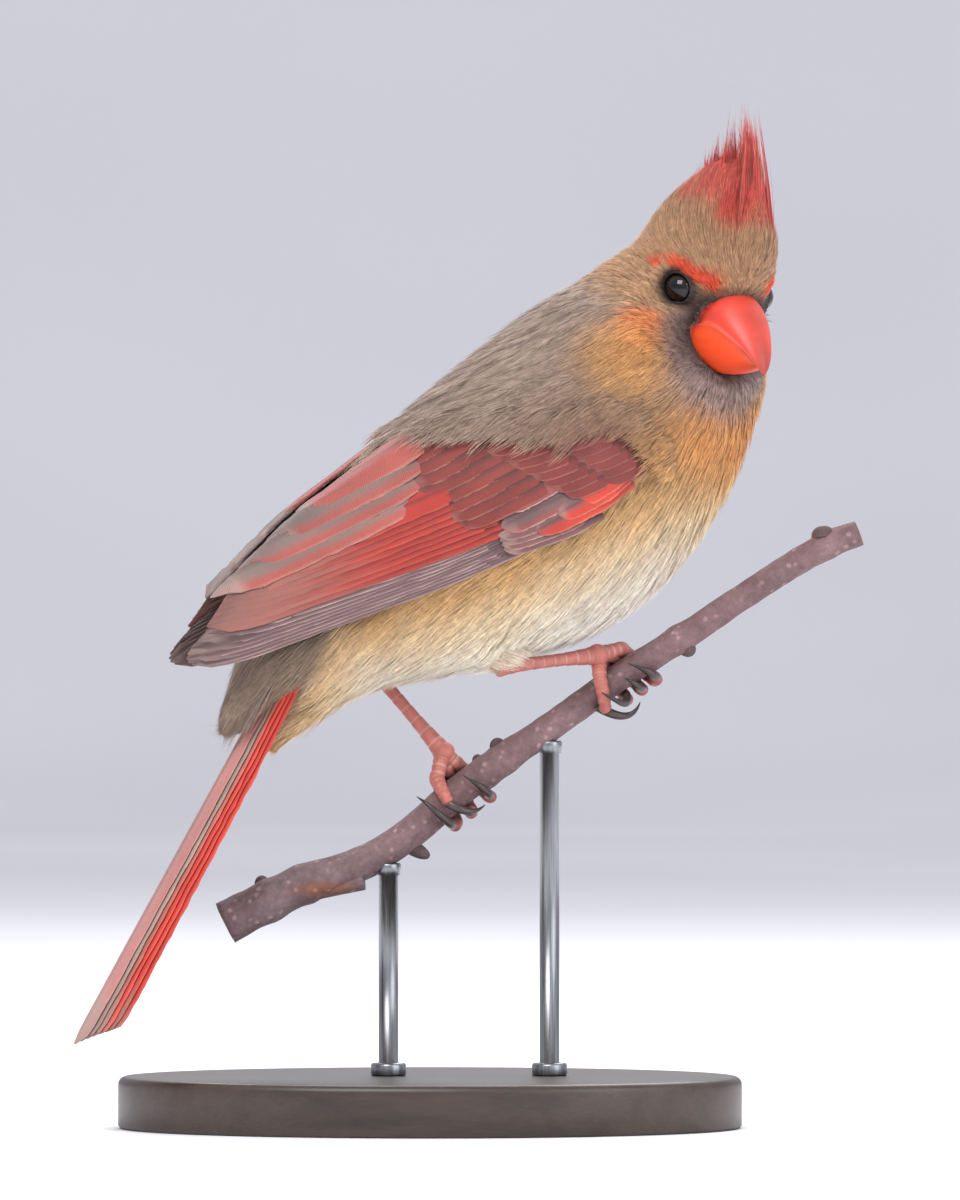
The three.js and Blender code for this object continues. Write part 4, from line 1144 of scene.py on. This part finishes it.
def branch_parts():
    """The branch with its buds, the stub of a side branch and its cut ends, in their colours."""
    xs = np.linspace(PERCH[0][0], PERCH[-1][0], 150)
    centre, radius = perch_at(xs)

    def ridges(angle, n):
        knot = sum(0.1 * math.exp(-(((xs[n] - x) / 1.6) ** 2)) for x in KNOTS)
        return 1 + knot + 0.035 * np.sin(3 * angle + xs[n] * 0.13) + 0.02 * np.sin(7 * angle + xs[n] * 0.6)

    points, faces = loft(tube(centre, radius, 40, ridges))
    points = points + 0.12 * wobble(points, 2.2, 21)[:, None] * np.array([0, 1, 0.6])
    made = [(points, faces, bark_colour(points))]
    for x, angle, length, size in BUDS:
        root = beside_branch(x, angle, -0.8, 0)[0]
        tip = beside_branch(x, angle, length, length * 0.6)[0]
        t = np.linspace(0, 1, 12)
        radii = size * 1.05 * np.sqrt(np.clip(1 - (t * 0.97) ** 2.4, 0, 1))
        points, faces = loft(tube(mix(root, tip, t[:, None]), radii, 16))
        made.append((points, faces, mix(bark_colour(points), srgb(BARK["bud"]), 0.6)))
    root = beside_branch(-24, 150, -3, 0)[0]
    t = np.linspace(0, 1, 18)
    points, faces = loft(tube(root + t[:, None] * np.array([11, -1, 1.6]), mix(2.9, 2.1, t**0.7), 24))
    made.append((points, faces, bark_colour(points)))
    for end, next_in in ((0, 1), (-1, -2)):
        way = unit(centre[end] - centre[next_in])
        path = centre[end] + np.array([[-0.3], [0.12]]) * way
        points, faces = loft(tube(path, radius[end] * np.array([0.9, 0.84]), 32))
        made.append((points, faces, np.tile(srgb(BARK["cut"]), (len(points), 1))))
    return merged(made)


# Legs and feet: toes wrap the branch from one angle and shift to another, and end in curved claws. A claw's
# bend and tip are given as shift along the branch, angle round it and distance from it
LEGS = {
    "right": {
        "heel": (11, 88.6, -9),
        "thigh": (2, 99, -8),
        "joint": (32.2, -0.4, 90.9),
        "x": 36.5,
        "down_seed": 76,
        "toes": [
            {"shift": (3.2, 5.8), "angle": (12, 212), "bend": (5.6, 245, 2.4), "tip": (2.7, 286, 2.2)},
            {"shift": (1.2, 2.3), "angle": (10, 202), "bend": (1.9, 238, 2.6), "tip": (0.6, 262, 2)},
            {"shift": (-1.2, -1.3), "angle": (10, 192), "bend": (-2.2, 225, 4), "tip": (-4.6, 266, 4)},
            {"shift": (-2, -6), "angle": (-25, -148), "bend": (-3.2, -175, 6.2), "tip": (0.5, -158, 4)},
        ],
    },
    "left": {
        "heel": (-12, 91.5, 9),
        "thigh": (-14, 99, 8),
        "joint": (2.6, 2.6, 72.2),
        "x": 3.85,
        "down_seed": 75,
        "toes": [
            {"shift": (5, 6.3), "angle": (12, 208), "bend": (6.4, 245, 2.6), "tip": (4.7, 292, 2)},
            {"shift": (3, 1.2), "angle": (10, 205), "bend": (0.4, 222, 1.2), "tip": (-0.6, 238, 1.1)},
            {"shift": (0.6, -2.9), "angle": (10, 207), "bend": (-3.4, 262, 3.4), "tip": (-4.8, 318, 2.6)},
            {"shift": (0.3, -0.8), "angle": (-25, -98), "bend": (0.3, -135, 4.4), "tip": (4.4, -150, 3)},
        ],
    },
}
TOE_RADIUS = 1.25
TOE_RISE = TOE_RADIUS + 0.5
TOE_PLATES = 21
JOINT_RADIUS = 2.2
CLAW_RADIUS = 0.9
TARSUS = [(0, 1.9), (0.17, 1.45), (0.33, 1.25), (0.5, 1.2), (0.67, 1.25), (0.83, 1.5), (1, 1.9)]
TARSUS_PLATES = 9
LEG_TONES = {"skin": "bd6f62", "deep": "8d4a45", "line": "dcc0b2"}
CLAW_TONES = ("4f4240", "2a2322")


def scuted(share, plates, angle):
    """Radius of a scaly leg, whose plates overlap towards the toes, and strength of their pale lines."""
    place = (share * plates) % 1
    swell = 1.05 - 0.12 * np.exp(-(((place - 0.02) / 0.09) ** 2)) - 0.06 * place
    line = np.exp(-(((place - 0.03) / 0.07) ** 2)) * (0.4 + 0.6 * np.abs(np.cos(angle)))
    return swell, line


def scaly_tube(path, radii, sides, plates):
    angles = circle(sides)
    share = np.linspace(0, 1, len(path))
    points, faces = loft(tube(path, radii, sides, lambda angle, n: scuted(share[n], plates, angle)[0]))
    line = scuted(share[:, None], plates, angles)[1]
    deep = (0.5 + 0.4 * np.sin(angles + 1))[..., None]
    base = mix(srgb(LEG_TONES["skin"]), srgb(LEG_TONES["deep"]), deep)
    return points, faces, capped(mix(base, srgb(LEG_TONES["line"]), 0.4 * line[..., None]))


def smooth_line(path, rounds=3):
    for _ in range(rounds):
        path = np.vstack([path[:1], (path[:-2] + 2 * path[1:-1] + path[2:]) / 4, path[-1:]])
    return path


def foot_parts(leg):
    joint = np.array(leg["joint"], float)
    angles = np.linspace(0, math.pi, 16)
    ball = joint + np.stack([0 * angles, 0 * angles, JOINT_RADIUS * np.cos(angles)], -1)
    points, faces = loft(tube(ball, JOINT_RADIUS * np.sin(angles).clip(0.02), 24))
    made = [(points, faces, np.tile(srgb(LEG_TONES["skin"]), (len(points), 1)) * 0.9)]
    t = np.linspace(0, 1, 70)
    for toe in leg["toes"]:
        rise = np.full_like(t, TOE_RISE)
        around = beside_branch(leg["x"], mix(*toe["angle"], t), rise, mix(*toe["shift"], t))
        lead = mix(joint, around[0], np.linspace(0, 0.9, 14)[:, None])
        path = smooth_line(np.vstack([lead, around]))
        share = np.linspace(0, 1, len(path))
        pads = 1 + 0.09 * np.sin(share * math.pi * 7) ** 2
        radii = TOE_RADIUS * mix(1.16, 0.86, share) * pads * np.where(share > 0.96, 0.85, 1)
        made.append(scaly_tube(path, radii, 20, TOE_PLATES))
    return merged(made)


def claw_part(leg, toe):
    root = np.array([toe["shift"][1], toe["angle"][1], TOE_RISE])
    t = np.linspace(-0.12, 1, 26)[:, None]
    bend, tip = np.array(toe["bend"], float), np.array(toe["tip"], float)
    shift, angle, distance = ((1 - t) ** 2 * root + 2 * t * (1 - t) * bend + t * t * tip).T
    path = beside_branch(leg["x"], angle, distance, shift)
    shade = np.clip(t, 0, 1)
    points, faces = loft(tube(path, mix(CLAW_RADIUS * 1.04, 0.1, shade[:, 0] ** 1.5), 18))
    root_tone, tip_tone = (srgb(code) for code in CLAW_TONES)
    return points, faces, capped(mix(root_tone, tip_tone, np.repeat(shade, 18, axis=0)))


def tarsus_part(leg):
    t = np.linspace(0, 1, 110)
    path = mix(side_points(*leg["heel"]), np.array(leg["joint"], float), t[:, None])
    return scaly_tube(path, read_table(TARSUS, t)[:, 0], 28, TARSUS_PLATES)


# The bill, eyes and lids
BILL_TONES = {  # sides, ridge, cutting edge and tip
    "bill_upper": ("e2402e", "9c4437", "f3a48e", "8f3f34"),
    "bill_lower": ("fb5426", "e04424", "9a3422", "a8452e"),
}
# Nostril: a shallow pit whose dark tone is painted shade inside the opening
NOSTRIL = {"at": (5.6, 0, 0.4), "radius": 0.75, "depth": 0.5, "tone": "4a2420"}
LID_PROFILE = [  # distance from the eye's axis, distance out along it
    (2.75, 1.2), (2.85, 2.0), (3.0, 2.25), (3.2, 2.2), (3.45, 1.85), (3.7, 1.3), (3.9, 0.6), (3.4, 0.1),
]
LID_ROWS = 30


def bill_part(table, flat_top, codes):
    """Half of the bill, with the markings of ridge, side and cutting edge."""
    start, end = table[0][0], table[-1][0]
    along = np.linspace(start, end, 60)
    top, low, half = columns_of(table, along)
    angles = circle(56)
    power = 0.8 if flat_top else 1.0
    turn, across = np.sin(angles), np.cos(angles)
    flat = np.maximum(turn, 0) if flat_top else np.minimum(turn, 0)
    height = np.where(flat == turn, turn * 0.12, np.sign(turn) * np.abs(turn) ** power)
    z = (top if flat_top else low) + height * (top - low) + BILL_RAISE
    side = half * np.sign(across) * np.abs(across) ** power
    side = side * (1 if flat_top else 1 - 0.22 * np.maximum(turn, 0) ** 2 * np.abs(turn))
    points = np.stack(np.broadcast_arrays(along[:, None], side, z), -1)
    share = np.broadcast_to(((along - start) / (end - start))[:, None], side.shape)
    ridge = np.abs(turn) ** 3 * np.where(turn * (-1 if flat_top else 1) > 0, 1, 0)
    edge = np.exp(-((turn / 0.07) ** 2))
    base, ridge_tone, edge_tone, tip_tone = (srgb(code) for code in codes)
    colours = mix(base, ridge_tone, 0.6 * ridge[:, None] * share[..., None] ** 0.5)
    colours = mix(colours, edge_tone, 0.45 * edge[:, None])
    colours = mix(colours, tip_tone, (0.6 * step(0.75, 1, share))[..., None])
    # The nostril: a shallow dent, painted dark as the shade inside its opening
    if not flat_top:
        pit = np.linalg.norm((points - np.array(NOSTRIL["at"])) * np.array([1, 0, 1.3]), axis=-1)
        pit = np.exp(-((pit / NOSTRIL["radius"]) ** 2)) * step(2.5, 4, np.abs(points[..., 1]))
        points[..., 1] -= np.sign(points[..., 1]) * NOSTRIL["depth"] * pit
        colours = mix(colours, srgb(NOSTRIL["tone"]), 0.8 * pit[..., None])
    return *loft(placed(points, head_matrix)), capped(colours)


def eye_rings(side, profile, sides=56):
    """Rings round an eye's axis from rows (distance from the axis, distance out along it)."""
    centre, forward = eye_axis(side)
    up = np.array([0.0, 0, 1])
    across = np.cross(forward, up)
    angles = circle(sides)
    around = np.cos(angles)[:, None] * across * EYE_WIDE + np.sin(angles)[:, None] * up * EYE_TALL
    rings = [centre + forward * out + distance * around for distance, out in profile]
    return placed(np.array(rings), head_matrix), angles


def eye_part(side):
    radius = EYE["radius"]
    turn = np.linspace(0.02, math.pi - 0.02, 36)
    profile = [(radius * math.sin(a) / EYE_WIDE, radius * math.cos(a)) for a in turn]
    points, faces = loft(eye_rings(side, profile)[0])
    around, _ = eye_places(points, side)
    iris = mix(srgb("060505"), srgb("1d120d"), step(1.5, 1.75, around)[:, None])
    return points, faces, mix(iris, srgb("120b09"), step(2.3, 2.8, around)[:, None])


def lid_part(side):
    """A closed ring round the eye, with fine creases."""
    table = [(n / (len(LID_PROFILE) - 1), *row) for n, row in enumerate(LID_PROFILE)]
    rings, angles = eye_rings(side, read_table(table, np.linspace(0, 1, LID_ROWS)), 72)
    share = np.linspace(0, 1, LID_ROWS)[:, None]
    crease = 0.09 * np.sin(angles * 17 + 3 * share) * np.sin(share * math.pi)
    rings = rings + crease[..., None] * (head_matrix[:3, :3] @ eye_axis(side)[1])
    count, sides = rings.shape[:2]
    r, i = np.meshgrid(np.arange(count), np.arange(sides), indexing="ij")
    j = (i + 1) % sides
    low, high = r * sides, ((r + 1) % count) * sides
    quads = np.stack([low + i, low + j, high + j, high + i], -1).reshape(-1, 4)
    tone = mix(srgb("17100f"), srgb("3a2c27"), step(0.35, 0.8, share)[..., None])
    return rings.reshape(-1, 3), [quads], np.broadcast_to(tone, (count, sides, 3)).reshape(-1, 3)


# Skin, wings and tail
vane_finish = vane_material()
skin_points, skin_triangles = make_skin()
skin_tree = surface_tree(skin_points, skin_triangles)
skin_part = (skin_points, [skin_triangles], painted(skin_points))
add_part("skin", skin_part, skin_material(), FLESH)


def feather_piece(name, part, node):
    points, faces, values = part
    mesh = new_mesh(name, points, faces, values[:, :3], {VANE_MAP: values[:, 3:]})
    add_piece(name, mesh, vane_finish, [node])


wing_trees = []
for side_name, side in SIDES.items():
    wing = merged(wing_feathers(side))
    feather_piece("wing_feathers_" + side_name, wing, "wing_" + side_name)
    triangles = np.vstack([f if f.shape[1] == 3 else np.vstack([f[:, :3], f[:, [0, 2, 3]]]) for f in wing[1]])
    wing_trees.append(surface_tree(wing[0], triangles))
feather_piece("tail_feathers", merged(tail_feathers()), "tail")


# The coat's pieces
def hidden(points, normals, reach=7.0):
    """Which roots lie under the wing's own feathers."""
    found = np.zeros(len(points), bool)
    for n, (p, up) in enumerate(zip(points, normals)):
        start, way = Vector(p + up * 0.1), Vector(up)
        found[n] = any(tree.ray_cast(start, way, reach)[0] is not None for tree in wing_trees)
    return found


def open_roots(points, normals):
    """Roots that carry a feather: not under the wings, on the bill or on an eye."""
    q = in_frame(points, head_matrix)
    bill = reach_in(q, (9.5, 0, -6), (6.6, 6.3, 7.4)) < 1
    gape = reach_in(q, (5.5, 0, -8.6), (5.5, 8.6, 5)) < 1
    keep = ~hidden(points, normals) & ~(bill | gape)
    for side in SIDES.values():
        around, out = eye_places(points, side)
        keep &= ~((around < 3.5) & (out > -1))
    return keep


def density(points):
    near = head_share(points)
    face = step(20, 10, bill_gap(points))
    return mix(COAT_DENSITY["body"], COAT_DENSITY["head"], near) * (1 + 0.5 * face * near)


def body_coat():
    """The tufts of head and body, and which of them each region takes."""
    roots, normals = spread(skin_points, skin_triangles, density, 31)
    keep = open_roots(roots, normals)
    roots, normals = roots[keep], normals[keep]
    share = head_share(roots)
    face = step(20, 9, bill_gap(roots)) * share
    face = np.maximum(face, step(9, 4, eye_gap(roots)) * share)
    x, _, z = in_frame(roots, body_matrix).T
    hind = 1 - step(-52, -38, x)
    crown = step(9, 18, in_frame(roots, head_matrix)[:, 2])
    on_body = COAT_LENGTH["body"] + COAT_LENGTH["hind"] * hind
    on_head = COAT_LENGTH["head"] + COAT_LENGTH["crown"] * crown
    length = mix(mix(on_body, on_head, share), COAT_LENGTH["face"], face)
    wide = mix(mix(COAT_WIDTH["body"], COAT_WIDTH["head"], share), COAT_WIDTH["face"], face)
    lift = coat_depth(roots) * 1.02 * (1 - 0.45 * hind)
    body, upper = share <= 0.5, z > -8
    regions = {
        "head": ~body,
        "neck": body & (x > 30),
        "breast": body & (x <= 30) & (x > 5) & ~upper,
        "back": body & (x <= 30) & (x > -25) & upper,
        "belly": body & (x <= 5) & (x > -25) & ~upper,
        "rump": body & (x <= -25),
    }
    return tufts(roots, normals, length, wide, lift, skin_tree, 41), regions


made, regions = body_coat()
for region, picked in regions.items():
    places = np.flatnonzero(picked)
    slot = "head_plumage" if region == "head" else "body_plumage"
    shares = max(1, math.ceil(len(places) / MOST_TUFTS))
    for n, part in enumerate(np.array_split(places, shares), 1):
        coat_piece(f"coat_{region}_{n}", made, slot, part)


# Long feathers that stand free of the skin: crest, bristles, wing edge, tail coverts and thighs
def head_tufts(root, tip, colour_of, seed, **settings):
    """Loose feathers from roots and tips in the head's frame."""
    root, tip = placed(root, head_matrix), placed(tip, head_matrix)
    return loose_tufts(root, tip, head_matrix[:3, 1], colour_of, seed, **settings)


CREST = {
    "count": 300, "front": 7.5, "back": -14, "root_height": 10.5, "root_side": 5.2,
    "tip_front": (-4.2, 37.6), "tip_back": (-21, 21.5), "tip_side": 1.7,
}
# Spikes that the crest's feathers gather into: place from front to back, share of the full length
SPIKES = np.array([
    (0.0, 1.14), (0.07, 0.84), (0.15, 0.7), (0.25, 1.04), (0.34, 0.97), (0.45, 0.8), (0.56, 0.9),
    (0.68, 0.78), (0.8, 0.86), (0.92, 0.8), (1.0, 0.72),
])


def crest_tufts(seed):
    draw = np.random.default_rng(seed)
    count = CREST["count"]
    t = draw.uniform(0, 1, count) ** 0.9
    column = draw.uniform(-1, 1, count)
    near = np.abs(t[:, None] - SPIKES[:, 0]).argmin(axis=1)
    spike = SPIKES[near]
    height = CREST["root_height"] + 3 * (1 - column**2) - 2.5 * t**2
    root = np.stack([mix(CREST["front"], CREST["back"], t), column * CREST["root_side"], height], -1)
    gathered = mix(t, spike[:, 0], 0.85)
    lean = np.where(near % 2, 0.7, -0.5)
    (front_x, front_z), (back_x, back_z) = CREST["tip_front"], CREST["tip_back"]
    tip_x = mix(front_x, back_x, gathered) + draw.normal(0, 0.25, count)
    tip_y = 0.35 * column * CREST["tip_side"] + lean + draw.normal(0, 0.25, count)
    tip = np.stack([tip_x, tip_y, mix(front_z, back_z, gathered**1.7)], -1)
    reach = spike[:, 1] * (1.0 - 0.5 * draw.uniform(0, 1, count) ** 1.6)
    tip = root + (tip - root) * reach[:, None]
    red, deep, brown, pale = (srgb(code) for code in ("c9544b", "9c2f2b", "866449", "d0837a"))

    def colour_of(along, kind):
        c = mix(brown, red, step(0.02, 0.42, along + 0.25 * kind))
        c = mix(c, deep, 0.75 * (kind > 0.66))
        c = mix(c, brown, 0.6 * (kind < 0.14))
        return mix(c, pale, 0.45 * step(0.7, 1, along) * (kind < 0.4))

    bow = np.stack([0.9 * (1 - t), 0 * t, 0 * t], -1) @ head_matrix[:3, :3].T
    return head_tufts(root, tip, colour_of, seed, fan=0.8, bow=bow)


BRISTLES = 300


def bristles(seed):
    """Dark bristles and small stiff feathers round the base of the upper bill and at the gape."""
    draw = np.random.default_rng(seed)
    turn = draw.uniform(-math.pi, math.pi, BRISTLES)
    low = (1 - np.cos(turn)) / 2
    root = np.stack([5.6 - 2.6 * low, 7.3 * np.sin(turn), -5.2 + 9.2 * np.cos(turn)], -1)
    out = np.stack([0.8 - 0.2 * low, 0.34 * np.sin(turn), 0.3 * np.cos(turn)], -1)
    out = unit(out + draw.normal(0, 0.22, out.shape))
    tip = root + out * (draw.uniform(2.2, 4.2, BRISTLES) * (1 - 0.3 * low))[:, None]
    dark, grey, shade = srgb("271d1b"), srgb("7d6d69"), low[:, None]

    def colour_of(along, kind):
        return mix(dark, grey, np.clip(0.9 * shade + 0.5 * along * (kind > 0.5), 0, 1))

    return head_tufts(root, tip, colour_of, seed, barbs=3, steps=4, fan=0.35, half=0.06)


# Edge of the feathers that fall over the wing's coverts, as distance along the wing and height
WING_EDGE = np.array([(-7, 0.5), (-6, 8.5), (-3, 12.5), (6, 14), (13, 16.4), (21, 20.4), (31, 23.4)])
WING_EDGE_TUFTS = 520


def wing_edge_tufts(side, seed):
    """Scapular and side feathers that lie over the front and upper edge of the folded wing."""
    draw = np.random.default_rng(seed)
    share = draw.uniform(0, len(WING_EDGE) - 1, WING_EDGE_TUFTS)
    start = np.stack([np.interp(share, np.arange(len(WING_EDGE)), WING_EDGE[:, k]) for k in range(2)], -1)
    front = 1 - step(1.0, 2.6, share)
    start = start + draw.normal(0, 1, (WING_EDGE_TUFTS, 2)) * np.array([1.2, 1.3])
    ahead = draw.uniform(5, 9.5, WING_EDGE_TUFTS) * (1 - 0.35 * front)
    drop = draw.uniform(-3.2, -1, WING_EDGE_TUFTS) * (1 - 0.6 * front)

    def at(part, lift):
        along, height = start[:, 0] + ahead * part, start[:, 1] + drop * part
        return wing_spot(side, along, height, lift - wing_tuck(along, height))

    root, middle, tip = at(0, 2.2), at(0.5, 4.5), at(1, 4.6)
    tone = painted(root)

    def colour_of(along, kind):
        return tone * mix(0.62, 1.1, np.minimum(1, along * 1.6)) * mix(0.9, 1.08, kind)

    across = unit(root - wing_spot(side, start[:, 0], start[:, 1] - 1, 2.2))
    bow = middle - (root + tip) / 2
    return loose_tufts(root, tip, across, colour_of, seed, barbs=8, steps=4, fan=1.1, half=0.1, bow=bow)


TAIL_COVERTS = 220


def tail_coverts(seed):
    """Long grey feathers of the rump that run out over the root of the tail."""
    draw = np.random.default_rng(seed)
    start, _, along, across, back = tail_axes()
    aside = draw.uniform(-1, 1, TAIL_COVERTS)
    rise = 1 - 0.55 * aside**2
    low, high = draw.uniform(3, 9, TAIL_COVERTS), draw.uniform(17, 27, TAIL_COVERTS)
    apart = 6.6 * aside + draw.normal(0, 0.8, TAIL_COVERTS)
    places = [(low, 6.5 * aside, 4.6 * rise), (high, apart, 3.4 * rise + 0.6)]
    root, tip = (start + a[:, None] * along + b[:, None] * across + c[:, None] * back for a, b, c in places)
    grey, pale, rose = srgb("8d7b6e"), srgb("ab998b"), srgb("b0655a")

    def colour_of(along, kind):
        return mix(mix(grey, pale, 0.7 * along), rose, 0.6 * (kind > 0.93))

    return loose_tufts(root, tip, across, colour_of, seed, barbs=8, half=0.1, bow=0.5 * back)


PUFFS = 420


def thigh_puff(leg):
    """Soft feathers of the thigh that fall over the heel."""
    seed = leg["down_seed"]
    draw = np.random.default_rng(seed)
    heel = side_points(*leg["heel"])
    way = unit(np.array(leg["joint"], float) - heel)
    back = unit(side_points(*leg["thigh"]) - heel)
    turn = draw.uniform(0, TAU, PUFFS)
    one = unit(np.cross(back, [0, 1, 0]))
    other = np.cross(back, one)
    out = np.cos(turn)[:, None] * one + np.sin(turn)[:, None] * other
    root = heel + back * draw.uniform(3, 8, PUFFS)[:, None] + out * draw.uniform(1.2, 2.6, PUFFS)[:, None]
    tip = heel + way * draw.uniform(2.5, 7.5, PUFFS)[:, None] + out * draw.uniform(0.8, 3.0, PUFFS)[:, None]
    pale, buff = srgb("f1e6d6"), srgb("dcc09a")

    def colour_of(along, kind):
        return mix(buff, pale, step(0.1, 0.8, along) * (0.5 + 0.5 * kind))

    across = unit(np.cross(way, [0, 1, 0]))
    bow = 0.7 * out
    return loose_tufts(root, tip, across, colour_of, seed, barbs=6, steps=4, fan=0.7, half=0.09, bow=bow)


coat_piece("crest", crest_tufts(51), "head_plumage")
coat_piece("bristles", bristles(61), "head_plumage")
for side_name, side in SIDES.items():
    coat_piece("wing_edge_" + side_name, wing_edge_tufts(side, 91 + side))
coat_piece("tail_coverts", tail_coverts(81))
for side_name, leg in LEGS.items():
    coat_piece("thigh_down_" + side_name, thigh_puff(leg))

# Bill, eyes and lids
bill_finish = bill_material()
for name, table, flat_top in (("bill_upper", UPPER_BILL, False), ("bill_lower", LOWER_BILL, True)):
    mesh = new_mesh(name, *bill_part(table, flat_top, BILL_TONES[name]))
    add_piece(name + "_horn", mesh, bill_finish, [name])
eye_finish = eye_material()
lid_finish = leg_material("lid", 0.6, 900)
for side_name, side in SIDES.items():
    add_part("eyeball_" + side_name, eye_part(side), eye_finish, ["eye_" + side_name])
    add_part("lid_" + side_name, lid_part(side), lid_finish)

# Legs, claws and branch
leg_finish = leg_material("leg", 0.5, 600)
claw_finish = leg_material("claw", 0.32, 300)
for side_name, leg in LEGS.items():
    add_part("foot_scales_" + side_name, foot_parts(leg), leg_finish, ["foot_" + side_name])
    add_part("tarsus_scales_" + side_name, tarsus_part(leg), leg_finish, ["tarsus_" + side_name])
    for n, toe in enumerate(leg["toes"], 1):
        place = f"{side_name}_{n}"
        add_part("claw_horn_" + place, claw_part(leg, toe), claw_finish, ["claw_" + place])
add_part("branch", branch_parts(), bark_material(), ["perch"])

# Stand
BASE = {"half_x": 60, "half_y": 40, "height": 10, "bevel": 1.6, "chamfer": 0.6}
ROD = {"radius": 1.9, "collar": 3.4, "collar_height": 2.4, "cup": 2.4, "cup_height": 2.4}
RODS_X = (-8, 23)


def base_part():
    """The stand's oval base, with a rounded upper edge and a small chamfer below."""
    height, bevel, chamfer = BASE["height"], BASE["bevel"], BASE["chamfer"]
    arc = np.linspace(0, math.pi / 2, 9)
    edge = [(chamfer, 0.0), (0.0, chamfer)]
    edge += [(bevel * (1 - math.cos(a)), height - bevel * (1 - math.sin(a))) for a in arc]
    edge += [(8, height), (25, height)]
    c, s = np.cos(circle(128)), np.sin(circle(128))
    rings = [((BASE["half_x"] - inset) * c, (BASE["half_y"] - inset) * s, 0 * c + z) for inset, z in edge]
    return loft(np.array(rings).transpose(0, 2, 1))


def rod_part(x):
    """A rod with a low collar on the base and a cupped end under the branch."""
    centre, radius = perch_at(x)
    foot, top = BASE["height"], centre[0, 2] - radius[0] * 0.9
    collar, cup, thin = ROD["collar"], ROD["cup"], ROD["radius"]
    collar_top, cup_low = foot + ROD["collar_height"], top - ROD["cup_height"]
    heights = [foot, foot + 0.4, collar_top - 0.4, collar_top, collar_top + 0.1]
    heights += [cup_low, cup_low + 0.1, top - 0.3, top]
    radii = [collar - 0.2, collar, collar, collar - 0.2, thin, thin, cup - 0.1, cup, cup - 0.2]
    path = np.array([(x, PERCH_Y, z) for z in heights])
    return loft(tube(path, radii, 40))


add_part("base_wood", base_part(), wood_material(), ["stand_base"])
metal = metal_material()
for n, x in enumerate(RODS_X, 1):
    add_part(f"rod_metal_{n}", rod_part(x), metal, [f"stand_rod_{n}"])

# Stage, lights and camera
STAGE_FLAT = 2700.0
STAGE_CURVE = 1500.0
STAGE_SIDES = 96
AIM = (10, 0, 110)
LIGHTS = {  # place, size, power and tint
    "key": ((-350, -900, 1100), (700, 700), 13.4, (1, 0.98, 0.96)),
    "fill": ((900, -700, 500), (900, 900), 6.5, (0.95, 0.97, 1)),
    "back": ((100, 700, 900), (900, 500), 9, (0.97, 0.98, 1)),
}
WORLD_COLOUR = (0.86, 0.88, 0.95, 1)
WORLD_STRENGTH = 0.74


def add_stage():
    """A pale round floor whose rim curves up, so that no side shows a horizon."""
    arc = np.linspace(0, math.pi / 2, 60)
    line = [(r, 0.0) for r in (1.0, 800.0, 1800.0, STAGE_FLAT - 100)]
    line += [(STAGE_FLAT + STAGE_CURVE * math.sin(a), STAGE_CURVE * (1 - math.cos(a))) for a in arc]
    angles = circle(STAGE_SIDES)
    points = np.array([(r * np.cos(angles), r * np.sin(angles), 0 * angles + z) for r, z in line])
    points = np.vstack([points.transpose(0, 2, 1).reshape(-1, 3), [[0, 0, 0]]])
    k = np.arange(STAGE_SIDES)
    j = (k + 1) % STAGE_SIDES
    ring = np.stack([k, j, STAGE_SIDES + j, STAGE_SIDES + k], -1)
    quads = [ring + n * STAGE_SIDES for n in range(len(line) - 1)]
    middle = np.stack([np.full(STAGE_SIDES, len(points) - 1), j, k], -1)
    floor = add_object("floor", new_mesh("floor", points, [np.vstack(quads), middle]))
    floor.data.materials.append(stage_material())


def add_light(name, place, size, power, tint):
    light = bpy.data.lights.new(name, "AREA")
    light.shape = "RECTANGLE"
    light.size, light.size_y = size[0] * MM, size[1] * MM
    light.energy = power
    light.color = tint
    obj = add_object(name, light)
    obj.location = Vector(place) * MM
    obj.rotation_euler = (Vector(AIM) - Vector(place)).to_track_quat("-Z", "Y").to_euler()


def add_world():
    world = bpy.data.worlds.new("studio")
    world.use_nodes = True
    background = world.node_tree.nodes["Background"].inputs
    background["Color"].default_value = WORLD_COLOUR
    background["Strength"].default_value = WORLD_STRENGTH
    bpy.context.scene.world = world


def add_camera():
    camera = bpy.data.cameras.new("camera")
    camera.sensor_width = SENSOR
    camera.lens = SENSOR * CAMERA_AWAY / (PHOTO_SIZE[1] / PHOTO_SCALE)
    camera.clip_start, camera.clip_end = 0.05, 50
    obj = add_object("camera", camera)
    aim_x = (PHOTO_SIZE[0] / 2 - PHOTO_ORIGIN[0]) / PHOTO_SCALE
    aim_z = (PHOTO_ORIGIN[1] - PHOTO_SIZE[1] / 2) / PHOTO_SCALE
    obj.location = Vector((aim_x, -CAMERA_AWAY, aim_z)) * MM
    obj.rotation_euler = (math.pi / 2, 0, 0)
    bpy.context.scene.camera = obj


add_stage()
for name, settings in LIGHTS.items():
    add_light(name, *settings)
add_world()
bpy.context.scene.view_settings.view_transform = "Standard"
add_camera()
